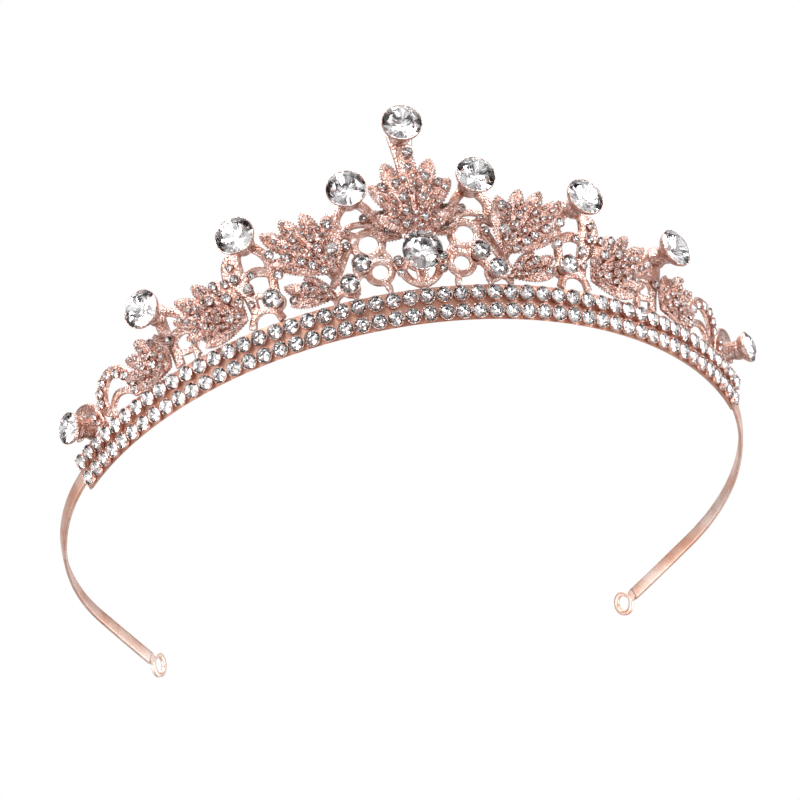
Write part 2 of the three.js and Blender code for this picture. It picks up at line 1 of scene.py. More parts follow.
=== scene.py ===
"""Bridal tiara: rose-gold leaves, vines and claw-set crystals on a sprung head strap.

The front is drawn flat, in millimetres, and then wrapped round the head:
  u  along the strap, 0 at the middle of the forehead, + towards the wearer's left
  y  up the leaning front, from the foot of the rail
  d  outwards, away from the head, 0 on the strap's centre line
"""
import math
import random

import bpy
import numpy as np
from bpy.props import FloatProperty, FloatVectorProperty, PointerProperty
from mathutils import Matrix, Vector, noise
from mathutils.geometry import delaunay_2d_cdt


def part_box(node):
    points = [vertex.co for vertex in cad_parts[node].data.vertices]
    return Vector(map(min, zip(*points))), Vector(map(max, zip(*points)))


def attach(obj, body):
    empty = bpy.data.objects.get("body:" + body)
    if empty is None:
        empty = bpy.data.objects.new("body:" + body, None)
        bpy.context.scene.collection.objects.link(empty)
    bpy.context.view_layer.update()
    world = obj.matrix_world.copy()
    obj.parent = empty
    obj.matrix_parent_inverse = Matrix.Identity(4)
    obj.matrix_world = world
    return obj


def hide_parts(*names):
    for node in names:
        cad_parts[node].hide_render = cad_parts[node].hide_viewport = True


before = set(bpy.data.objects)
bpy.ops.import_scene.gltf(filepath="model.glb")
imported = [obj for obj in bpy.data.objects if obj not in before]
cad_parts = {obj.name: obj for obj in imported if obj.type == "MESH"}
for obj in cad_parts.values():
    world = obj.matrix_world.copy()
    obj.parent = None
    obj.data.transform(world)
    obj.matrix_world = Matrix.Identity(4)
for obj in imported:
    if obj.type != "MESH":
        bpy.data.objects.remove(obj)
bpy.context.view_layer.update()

bl_info = {
    "name": "Bridal tiara",
    "version": (1, 0, 0),
    "blender": (4, 5, 0),
    "location": "3D View > Sidebar > Tiara",
    "description": "Builds a rose-gold bridal tiara of leaves, vines and set crystals",
    "category": "Add Mesh",
}

MM = 0.001


def linear(code):
    """An sRGB hex colour as linear RGB."""
    parts = [int(code[i:i + 2], 16) / 255 for i in (1, 3, 5)]
    return tuple(c / 12.92 if c <= 0.04045 else ((c + 0.055) / 1.055) ** 2.4 for c in parts)


# --- what a user can change

def size(name, millimetres, description):
    """A length that a user can change. It is kept in metres and given here in millimetres."""
    return FloatProperty(name=name, description=description, default=millimetres * MM,
                         min=0, unit="LENGTH", precision=5)


def colour(name, code, description):
    """A colour that a user can change."""
    return FloatVectorProperty(name=name, description=description, default=linear(code),
                               subtype="COLOR", size=3, min=0, max=1)


def angle(name, degrees, description):
    """An angle that a user can change."""
    return FloatProperty(name=name, description=description, default=math.radians(degrees),
                         unit="ROTATION")


class TiaraSizes(bpy.types.PropertyGroup):
    """The lengths and angles that shape the tiara."""

    front_radius: size("Front radius", 74.5, "Radius of the strap across the forehead")
    front_arc_end: size("Front arc", 89.2, "Half the length of the wide front arc")
    ear_radius: size("Ear radius", 61.6, "Radius of the strap over each ear")
    ear_arc_end: size("Ear arc", 142, "Where the tighter arc ends and the straight tail begins")
    strap_end: size("Strap half length", 165.2, "Half the length of the strap")
    strap_width: size("Strap width", 2.8, "Height of the strap's flat side")
    strap_thickness: size("Strap thickness", 1, "Thickness of the strap")
    strap_middle: size("Strap height", 4.6, "Height of the strap's middle on the rail")
    tail_drop: size("Tail drop", 1.4, "How far the strap falls from the rail to its tail")
    front_lean: angle("Front lean", 18, "How far the front leans out from upright")
    tail_lean: angle("Tail lean", -20, "How far the strap's tails lean out from upright")
    loop_length: size("Loop length", 7, "Length of the loop on each tail")
    loop_height: size("Loop height", 5.8, "Height of the loop on each tail")
    rail_half_length: size("Rail half length", 85, "Half the length of the rail")
    rail_thickness: size("Rail thickness", 0.9, "Thickness of the rail")
    row_pitch: size("Row pitch", 3.3, "Distance between neighbouring stones in a row")
    row_cup_depth: size("Row cup depth", 0.9, "Depth of a row stone's cup")
    row_foot_margin: size("Row margin", 0.36, "Rail left bare below the lower row")
    row_gap: size("Row gap", 0.5, "Gap between the places of the two rows on the rail")
    row_drop: size("Row drop", 0.15, "How far both rows hang over the rail's foot")
    row_draw: size("Row draw", 0.15, "How far the upper row is drawn down towards the lower one")
    vine_thickness: size("Vine thickness", 1.2, "Thickness of the open cast frames")
    leaf_thickness: size("Leaf thickness", 1, "Thickness of a leaf's plate")
    tooth_pitch: size("Leaf tooth pitch", 0.62, "Distance between the teeth on a leaf's edge")
    top_stone_radius: size("Top crystal radius", 4, "Girdle radius of a large top crystal")
    end_stone_radius: size("End crystal radius", 3.2, "Girdle radius of the last crystal on each side")
    centre_stone_radius: size("Centre crystal radius", 4.1, "Girdle radius of the centre crystal")
    side_stone_radius: size("Side crystal radius", 1.95, "Girdle radius of the bezel-set crystals")
    top_tilt: angle("Top crystal tilt", 12, "How far the top crystals are tipped up")


class TiaraFinishes(bpy.types.PropertyGroup):
    """The colours of the tiara's metals and stones."""

    rose_gold: colour("Rose gold", "#efdfd9", "Polished rose-gold plate")
    # The deep colour is also the painted shade in hollows and between grains.
    deep_rose_gold_and_shade: colour("Deep rose gold", "#bd9182", "Rose-gold plate in hollows and on castings")
    leaf_gold: colour("Leaf rose gold", "#f5eeed", "Rose-gold plate on the grained leaves")
    strap_gold: colour("Strap rose gold", "#f8e4da", "Rose-gold plate on the head strap")
    rail_gold: colour("Rail rose gold", "#dcab94", "Rose-gold plate on the rail")
    foil: colour("Foil", "#f3f2f2", "Silvered foil behind the crystals")
    floor: colour("Floor", "#cfcdca", "The pale floor")


def sizes():
    return bpy.context.scene.tiara_sizes


def finishes():
    return bpy.context.scene.tiara_finishes


def mm(name):
    """One of the tiara's sizes, in millimetres."""
    return getattr(sizes(), name) / MM


# --- the curve round the head

# Solder lies in these gaps between pieces.
JOINT_GAP, LEAF_GAP = 0.1, 0.3
# A row cup reaches this far past half the pitch.
CUP_OVERHANG = 0.06


class Plan:
    """Turns flat places on the front into places in the frame, in millimetres."""

    def __init__(self):
        self.rail_back = mm("strap_thickness") / 2 + JOINT_GAP
        self.rail_front = self.rail_back + mm("rail_thickness")
        self.row_back = self.rail_front + JOINT_GAP
        self.row_radius = mm("row_pitch") / 2 + CUP_OVERHANG
        self.lower_row = mm("row_foot_margin") + self.row_radius
        self.upper_row = self.lower_row + 2 * self.row_radius + mm("row_gap")
        self.rail_height = self.upper_row + self.row_radius
        self.vine_foot = self.rail_height + JOINT_GAP
        self.vine_back = self.rail_back
        self.vine_front = self.vine_back + mm("vine_thickness")
        self.low_leaf_back = self.vine_front + LEAF_GAP
        self.high_leaf_back = self.low_leaf_back + mm("leaf_thickness") + LEAF_GAP
        lean = sizes().front_lean
        self.foot_rise = self.rail_front * math.sin(lean)
        # The strap's front face is the strap's lowest Y in the frame, which places the plan.
        front_reach = (mm("strap_middle") + mm("strap_width") / 2) * math.sin(lean)
        front_reach += mm("strap_thickness") / 2 * math.cos(lean)
        self.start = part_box("head_strap")[0].y / MM + front_reach

    def place(self, points):
        """Wraps an array of (u, y, d) rows round the head and gives (x, y, z) rows."""
        u, y, d = np.asarray(points, float).T
        along, side = np.abs(u), np.where(u < 0, -1.0, 1.0)
        wide, tight = mm("front_radius"), mm("ear_radius")
        front_turn = np.minimum(along, mm("front_arc_end")) / wide
        ear_length = np.minimum(along, mm("ear_arc_end")) - mm("front_arc_end")
        heading = front_turn + np.maximum(0, ear_length) / tight
        tail = np.maximum(0, along - mm("ear_arc_end"))
        x = wide * np.sin(front_turn) + tight * (np.sin(heading) - np.sin(front_turn))
        x += tail * np.cos(heading)
        back = wide * (1 - np.cos(front_turn)) + tight * (np.cos(front_turn) - np.cos(heading))
        back += tail * np.sin(heading)
        share = self.tail_share(along)
        lean = sizes().front_lean + (sizes().tail_lean - sizes().front_lean) * share
        above = y - mm("strap_middle")
        out = above * np.sin(lean) + mm("strap_middle") * math.sin(sizes().front_lean)
        out += d * np.cos(lean)
        height = self.foot_rise + mm("strap_middle") * math.cos(sizes().front_lean)
        height = height - mm("tail_drop") * share + above * np.cos(lean) - d * np.sin(lean)
        return np.stack([side * (x + np.sin(heading) * out),
                         self.start + back - np.cos(heading) * out, height], -1)

    def tail_share(self, along):
        """0 up to the rail's end, rising smoothly to 1 at the strap's end."""
        t = (along - mm("rail_half_length")) / (mm("strap_end") - mm("rail_half_length"))
        t = np.clip(t, 0, 1)
        return t * t * (3 - 2 * t)

    def seat(self, u, y, d, tilt=0.0, turn=0.0):
        """The matrix that sets a rigid piece on the front: its +Z outwards, its +Y up the slope."""
        step = 0.01
        origin, across, above, out = (Vector(p) for p in self.place(
            [(u, y, d), (u + step, y, d), (u, y + step, d), (u, y, d + step)]))
        outward = (out - origin).normalized()
        upward = (above - origin).normalized()
        sideways = upward.cross(outward).normalized()
        basis = Matrix((sideways, outward.cross(sideways), outward)).transposed().to_4x4()
        basis.translation = origin
        return basis @ Matrix.Rotation(-tilt, 4, "X") @ Matrix.Rotation(turn, 4, "Z")


# --- solids, as points and faces

class Solid:
    """Points in millimetres with the faces over them. Each face has a material number."""

    def __init__(self, points=(), faces=(), slot=0):
        self.points = [tuple(p) for p in points]
        self.faces = [tuple(f) for f in faces]
        self.slots = [slot] * len(self.faces)

    def add(self, other, matrix=None):
        """Takes in a copy of another solid, moved by the matrix."""
        first = len(self.points)
        moved = other.points if matrix is None else [tuple(matrix @ Vector(p)) for p in other.points]
        self.points.extend(moved)
        self.faces.extend(tuple(i + first for i in face) for face in other.faces)
        self.slots.extend(other.slots)
        return self

    def mirrored(self):
        """The same solid on the other side of the forehead."""
        copy = Solid([(-p[0], p[1], p[2]) for p in self.points], [f[::-1] for f in self.faces])
        copy.slots = list(self.slots)
        return copy

    def wrapped(self, plan):
        copy = Solid(plan.place(self.points), self.faces)
        copy.slots = list(self.slots)
        return copy


def lathe(profile, sides):
    """A solid turned about +Z from (radius, height) points that start and end on the axis."""
    points, rings = [], []
    for radius, height in profile:
        if radius < 1e-6:
            rings.append([len(points)])
            points.append((0, 0, height))
            continue
        rings.append(list(range(len(points), len(points) + sides)))
        points.extend((radius * math.cos(2 * math.pi * k / sides),
                       radius * math.sin(2 * math.pi * k / sides), height) for k in range(sides))
    faces = []
    for low, high in zip(rings, rings[1:]):
        for k in range(sides):
            following = (k + 1) % sides
            if len(low) == 1 and len(high) > 1:
                faces.append((low[0], high[following], high[k]))
            elif len(high) == 1 and len(low) > 1:
                faces.append((low[k], low[following], high[0]))
            elif len(low) > 1:
                faces.append((low[k], low[following], high[following], high[k]))
    return Solid(points, faces)


def bead(radius, height, sides=8):
    """A small rounded grain of metal, such as a claw's tip."""
    steps = 4
    profile = [(0, -height)]
    profile += [(radius * math.sin(math.pi * k / steps), -height * math.cos(math.pi * k / steps))
                for k in range(1, steps)]
    return lathe(profile + [(0, height)], sides)


def swept(line, widths, thickness, closed=False, section=12, squareness=0.7):
    """A flat wire along a line of (u, y, d) points, with its own width at each point."""
    line = [Vector(p) for p in line]
    last = len(line) - 1
    points, faces = [], []
    for i, point in enumerate(line):
        ahead = line[(i + 1) % len(line)] if closed else line[min(i + 1, last)]
        behind = line[i - 1] if closed or i else line[0]
        tangent = (ahead - behind).normalized()
        across = Vector((-tangent.y, tangent.x, 0)).normalized()
        for k in range(section):
            turn = 2 * math.pi * k / section
            c, s = math.cos(turn), math.sin(turn)
            wide = math.copysign(abs(c) ** squareness, c) * widths[i] / 2
            deep = math.copysign(abs(s) ** squareness, s) * thickness / 2
            points.append(tuple(point + across * wide + Vector((0, 0, deep))))
    rings = len(line)
    for i in range(rings if closed else rings - 1):
        for k in range(section):
            a, b = i * section + k, i * section + (k + 1) % section
            c, d = ((i + 1) % rings) * section + (k + 1) % section, ((i + 1) % rings) * section + k
            faces.append((a, d, c, b))
    if not closed:
        faces.append(tuple(range(section)))
        faces.append(tuple(reversed(range(last * section, rings * section))))
    return Solid(points, faces)


def smooth_line(stations, steps):
    """Catmull-Rom points through [u, v, width] stations: a list of (u, v, width)."""
    ends = [[2 * a - b for a, b in zip(stations[0], stations[1])],
            [2 * a - b for a, b in zip(stations[-1], stations[-2])]]
    padded = [ends[0], *stations, ends[1]]
    line = []
    for i in range(steps + 1):
        place = i / steps * (len(stations) - 1)
        j = min(int(place), len(stations) - 2)
        t = place - j
        p = padded[j:j + 4]
        line.append(tuple(0.5 * (2 * p[1][k] + (p[2][k] - p[0][k]) * t
                                 + (2 * p[0][k] - 5 * p[1][k] + 4 * p[2][k] - p[3][k]) * t * t
                                 + (3 * p[1][k] - p[0][k] - 3 * p[2][k] + p[3][k]) * t ** 3)
                          for k in range(3)))
    return line


def fused(solid, voxel, rounds=2):
    """The pieces of a solid run into one casting, with soft fillets where they meet."""
    mesh = bpy.data.meshes.new("casting")
    mesh.from_pydata(solid.points, [], solid.faces)
    piece = bpy.data.objects.new("casting", mesh)
    bpy.context.scene.collection.objects.link(piece)
    remesh = piece.modifiers.new("Fuse", "REMESH")
    remesh.mode = "VOXEL"
    remesh.voxel_size = voxel
    relax = piece.modifiers.new("Relax", "SMOOTH")
    relax.factor = 0.5
    relax.iterations = rounds
    made = piece.evaluated_get(bpy.context.evaluated_depsgraph_get()).to_mesh()
    result = Solid([tuple(v.co) for v in made.vertices], [tuple(p.vertices) for p in made.polygons])
    bpy.data.objects.remove(piece)
    bpy.data.meshes.remove(mesh)
    return result


def make_piece(name, solid, materials, nodes, flat=False, sharp=None):
    """Puts a solid into the scene in place of the CAD nodes that it stands for."""
    mesh = bpy.data.meshes.new(name)
    mesh.from_pydata([tuple(c * MM for c in p) for p in solid.points], [], solid.faces)
    mesh.validate()
    for material in materials:
        mesh.materials.append(material)
    mesh.polygons.foreach_set("material_index", solid.slots)
    mesh.polygons.foreach_set("use_smooth", [not flat] * len(mesh.polygons))
    if sharp is not None:
        mesh.set_sharp_from_angle(angle=math.radians(sharp))
    mesh.update()
    piece = bpy.data.objects.new(name, mesh)
    bpy.context.scene.collection.objects.link(piece)
    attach(piece, "root")
    if nodes:
        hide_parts(*nodes)


def make_stones(name, stones, nodes):
    """Puts faceted stones into the scene."""
    make_piece(name, stones, [lead_crystal(), silver_foil()], nodes, flat=True)


# --- materials

def add_node(tree, kind, settings=None, links=None):
    """Adds a node, sets its properties and inputs, and links the given inputs to outputs."""
    made = tree.nodes.new(kind)
    for key, value in (settings or {}).items():
        if isinstance(key, int) or key in made.inputs:
            made.inputs[key].default_value = value
        else:
            setattr(made, key, value)
    for key, source in (links or {}).items():
        tree.links.new(source, made.inputs[key])
    return made


def new_material(name):
    """An empty material and its tree, output and object coordinates in millimetres."""
    material = bpy.data.materials.get(name)
    if material:
        return material, None, None, None
    material = bpy.data.materials.new(name)
    material.use_nodes = True
    tree = material.node_tree
    tree.nodes.clear()
    output = add_node(tree, "ShaderNodeOutputMaterial")
    coordinates = add_node(tree, "ShaderNodeTexCoord")
    millimetres = add_node(tree, "ShaderNodeVectorMath", {"operation": "SCALE", "Scale": 1 / MM},
                           {0: coordinates.outputs["Object"]})
    return material, tree, output, millimetres.outputs["Vector"]


def plated_metal(name, light, deep, roughness, grain, grain_height, blotch, pits=0.0):
    """Rose-gold plate over a casting.

    grain is the size of its cast grain in millimetres and grain_height how far it stands up;
    blotch is the size of the soft patches where the plate runs from light to deep, and pits is
    how far painted shade darkens it between the grains. The deep colour is also painted as shade
    into the casting's hollows, which ambient occlusion finds.
    """
    material, tree, output, place = new_material(name)
    if tree is None:
        return material
    patches = add_node(tree, "ShaderNodeTexNoise", {"Scale": 1 / blotch, "Detail": 4}, {"Vector": place})
    sharpened = add_node(tree, "ShaderNodeMapRange", {"From Min": 0.35, "From Max": 0.68},
                         {"Value": patches.outputs["Fac"]})
    # Painted shade: ambient occlusion turns the colour towards the deep one in the casting's hollows.
    hollows = add_node(tree, "ShaderNodeAmbientOcclusion",
                       {"samples": 4, "only_local": True, "Distance": 1.8 * MM})
    unshaded_parts = add_node(tree, "ShaderNodeMapRange", {"From Min": 0.25, "From Max": 0.9},
                          {"Value": hollows.outputs["AO"]})
    both = add_node(tree, "ShaderNodeMath", {"operation": "MULTIPLY"},
                    {0: sharpened.outputs["Result"], 1: unshaded_parts.outputs["Result"]})
    grains = add_node(tree, "ShaderNodeTexVoronoi", {"Scale": 1 / grain}, {"Vector": place})
    # Painted shade: between the grains the colour darkens by pits.
    between = add_node(tree, "ShaderNodeMapRange",
                       {"From Min": 0.3, "From Max": 0.7, "To Min": 1, "To Max": 1 - pits},
                       {"Value": grains.outputs["Distance"]})
    share = add_node(tree, "ShaderNodeMath", {"operation": "MULTIPLY"},
                     {0: both.outputs["Value"], 1: between.outputs["Result"]})
    tint = add_node(tree, "ShaderNodeMix", {"data_type": "RGBA"}, {"Factor": share.outputs["Value"]})
    tint.inputs["A"].default_value = (*deep, 1)
    tint.inputs["B"].default_value = (*light, 1)
    fine = add_node(tree, "ShaderNodeTexNoise", {"Scale": 3 / grain, "Detail": 2}, {"Vector": place})
    relief = add_node(tree, "ShaderNodeMath", {"operation": "MULTIPLY_ADD", 1: 0.35},
                      {0: fine.outputs["Fac"], 2: grains.outputs["Distance"]})
    bump = add_node(tree, "ShaderNodeBump", {"Distance": grain_height * MM, "invert": True},
                    {"Height": relief.outputs["Value"]})
    rough = add_node(tree, "ShaderNodeMapRange", {"To Min": roughness * 1.35, "To Max": roughness * 0.8},
                     {"Value": fine.outputs["Fac"]})
    shader = add_node(tree, "ShaderNodeBsdfPrincipled", {"Metallic": 1.0},
                      {"Base Color": tint.outputs["Result"], "Roughness": rough.outputs["Result"],
                       "Normal": bump.outputs["Normal"]})
    tree.links.new(shader.outputs["BSDF"], output.inputs["Surface"])
    return material


def polished_rose_gold():
    """Rose-gold plate polished on a strip: a bright, even pink with very faint drawing marks, and the rail's
    deeper colour as painted shade in hollows.
    """
    return plated_metal("rose_gold_polished_strip", finishes().strap_gold, finishes().rail_gold,
                        roughness=0.36, grain=1.1, grain_height=0.015, blotch=9)


def rail_rose_gold():
    """Rose-gold plate left as cast between the stones: satin, more orange than the polished strip, with
    painted shade in its hollows.
    """
    return plated_metal("rose_gold_satin_rail", finishes().rail_gold, finishes().deep_rose_gold_and_shade,
                        roughness=0.34, grain=0.8, grain_height=0.05, blotch=3)


def cast_rose_gold():
    """Rose-gold plate on a bright casting: glossy, with painted shade in a deeper orange where the vines
    fold together and between its grains.
    """
    return plated_metal("rose_gold_bright_casting", finishes().rose_gold, finishes().deep_rose_gold_and_shade,
                        roughness=0.2, grain=0.5, grain_height=0.13, blotch=2.2, pits=0.5)


def grained_rose_gold():
    """Rose-gold plate on a grained casting: each grain of the leaf's face glints by itself, with painted
    shade between the grains and in hollows.
    """
    return plated_metal("rose_gold_grained_casting", finishes().leaf_gold, finishes().deep_rose_gold_and_shade,
                        roughness=0.2, grain=0.45, grain_height=0.22, blotch=1.5, pits=0.9)


def lead_crystal():
    """Clear cut crystal glass: it bends light hard enough for every facet to show."""
    material, tree, output, place = new_material("clear_cut_crystal")
    if tree is None:
        return material
    wear = add_node(tree, "ShaderNodeTexNoise", {"Scale": 0.8}, {"Vector": place})
    rough = add_node(tree, "ShaderNodeMapRange", {"To Min": 0.0, "To Max": 0.02},
                     {"Value": wear.outputs["Fac"]})
    shader = add_node(tree, "ShaderNodeBsdfPrincipled",
                      {"Base Color": (0.98, 0.985, 1, 1), "Transmission Weight": 1.0, "IOR": 1.56},
                      {"Roughness": rough.outputs["Result"]})
    tree.links.new(shader.outputs["BSDF"], output.inputs["Surface"])
    return material


def silver_foil():
    """Silvered foil on the back facets: a mirror that throws the light back out through the table."""
    material, tree, output, place = new_material("silvered_foil_backing")
    if tree is None:
        return material
    clouds = add_node(tree, "ShaderNodeTexNoise", {"Scale": 1.1, "Detail": 2}, {"Vector": place})
    tint = add_node(tree, "ShaderNodeMix", {"data_type": "RGBA"}, {"Factor": clouds.outputs["Fac"]})
    tint.inputs["A"].default_value = (*[c * 0.82 for c in finishes().foil], 1)
    tint.inputs["B"].default_value = (*finishes().foil, 1)
    shader = add_node(tree, "ShaderNodeBsdfPrincipled", {"Metallic": 1.0, "Roughness": 0.09},
                      {"Base Color": tint.outputs["Result"]})
    tree.links.new(shader.outputs["BSDF"], output.inputs["Surface"])
    return material


# --- cut stones

GLASS, FOIL = 0, 1


def brilliant(radius, room=math.inf):
    """A round brilliant: table, star, kite and girdle facets in front, foil-backed mains behind.

    Its back is cut shallower where there is little room behind the girdle.
    """
    half_girdle = 0.03 * radius
    table, table_height = 0.56 * radius, 0.33 * radius
    star, star_height = 0.79 * radius, 0.2 * radius
    culet = min(0.6 * radius, room)
    main_break, break_depth = 0.2 * radius, 0.83 * culet

    def ring(count, r, z, offset=0.0):
        turns = [(k + offset) * 2 * math.pi / count for k in range(count)]
        return [(r * math.cos(t), r * math.sin(t), z) for t in turns]

    points = (ring(8, table, table_height, 0.5) + ring(8, star, star_height)
              + ring(16, radius, half_girdle) + ring(16, radius, -half_girdle)
              + ring(8, main_break, -break_depth) + [(0, 0, -culet)])
    faces, backs = [tuple(range(8))], []
    for k in range(8):
        t0, t1, m0, m1 = (k - 1) % 8, k, 8 + k, 8 + (k + 1) % 8
        before, here, after = (16 + (2 * k + j) % 16 for j in (-1, 0, 1))
        faces += [(t0, m0, t1), (t1, m0, after, m1), (m0, before, here), (m0, here, after)]
        low_before, low_here, low_after = before + 16, here + 16, after + 16
        p0, p1 = 48 + k, 48 + (k + 1) % 8
        backs += [(56, p1, low_after, p0), (p0, low_here, low_before), (p0, low_after, low_here)]
    for k in range(16):
        a, b = 16 + k, 16 + (k + 1) % 16
        faces.append((a, a + 16, b + 16, b))
    stone = Solid(points, faces, GLASS)
    stone.faces.extend(backs)
    stone.slots.extend([FOIL] * len(backs))
    return stone


def stone_cup(radius, depth, foot, claws=4, sides=24):
    """A flared cup with a fine rim round the girdle and small claws bent over the stone."""
    rim = radius + 0.08 + 0.04 * radius
    cup = lathe([(0, -depth), (foot, -depth), (foot + 0.06, -depth * 0.8), (rim * 0.95, -depth * 0.35),
                 (rim, -0.06), (rim, 0.05), (rim - 0.06, 0.1), (radius - 0.01, 0.02),
                 (radius - 0.06, -0.2 * depth), (radius * 0.4, -depth + 0.08), (0, -depth + 0.05)], sides)
    for k in range(claws):
        turn = Matrix.Rotation((k + 0.5) * 2 * math.pi / claws, 4, "Z")
        claw = bead(0.11 + radius * 0.08, 0.16 + 0.12 * radius, 6)
        cup.add(claw, turn @ Matrix.Translation((radius, 0, 0.1 * radius)))
    return cup


# --- leaves

SHOULDER, FULLNESS, NOTCH = 0.68, 1.9, 0.84
SIDE_REACH, SIDE_TURN = 0.93, 0.8
LEAF_GRID = 0.3
PAVE_RADIUS, PAVE_PITCH = 0.56, 1.45
# The smallest and largest share of that radius that one has, and how far it strays from its place.
PAVE_RANGE, PAVE_STRAY = (0.7, 1.15), 0.25
# Bare metal between two stones, and between a stone and the leaf's edge.
STONE_GAP, EDGE_GAP = 0.14, 0.12


def lobe_outline(base, lobes, tooth):
    """A leaf's toothed outline. Each lobe is (turn from +u in degrees, reach, half width)."""
    def spot(turn, reach, aside=0.0):
        c, s = math.cos(math.radians(turn)), math.sin(math.radians(turn))
        return Vector((base[0] + c * reach - s * aside, base[1] + s * reach + c * aside))

    def side_control(lobe, notch_turn):
        return spot(lobe[0] + (notch_turn - lobe[0]) * SIDE_TURN, lobe[1] * SIDE_REACH)

    root, first, last = Vector(base), lobes[0], lobes[-1]
    curves = [(root, spot(first[0], first[1] * SHOULDER, -first[2] * FULLNESS), spot(*first[:2]))]
    for lobe, following in zip(lobes, lobes[1:]):
        turn = (lobe[0] + following[0]) / 2
        notch = spot(turn, min(lobe[1], following[1]) * NOTCH)
        curves.append((curves[-1][2], side_control(lobe, turn), notch))
        curves.append((notch, side_control(following, turn), spot(*following[:2])))
    curves.append((curves[-1][2], spot(last[0], last[1] * SHOULDER, last[2] * FULLNESS), root))
    outline = []
    for start, control, end in curves:
        length = (control - start).length + (end - control).length
        teeth = max(2, round(length / tooth))
        for k in range(teeth * 2):
            t = k / (teeth * 2)
            point = start.lerp(control, t).lerp(control.lerp(end, t), t)
            along = (control - start).lerp(end - control, t).normalized()
            outward = Vector((along.y, -along.x))
            bite = -0.26 if k % 2 else 0.1
            fade = min(1.0, 4 * t + 0.2, 4 * (1 - t) + 0.2)
            outline.append(point + outward * bite * fade)
    return outline


def edge_distance(points, outline):
    """How far each point lies from the outline."""
    a = np.array([tuple(p) for p in outline])
    b = np.roll(a, -1, axis=0)
    run = b - a
    length = np.maximum((run ** 2).sum(1), 1e-9)
    gap = points[:, None, :] - a[None]
    t = np.clip((gap * run[None]).sum(2) / length, 0, 1)
    return np.sqrt(((gap - t[..., None] * run[None]) ** 2).sum(2)).min(1)


def inside(points, outline):
    """Which points lie inside the outline."""
    a = np.array([tuple(p) for p in outline])
    b = np.roll(a, -1, axis=0)
    x, y = points[:, 0][:, None], points[:, 1][:, None]
    crosses = (a[:, 1] > y) != (b[:, 1] > y)
    rise = np.where(b[:, 1] == a[:, 1], 1e-9, b[:, 1] - a[:, 1])
    reach = a[:, 0] + (y - a[:, 1]) * (b[:, 0] - a[:, 0]) / rise
    return (crosses & (x < reach)).sum(1) % 2 == 1


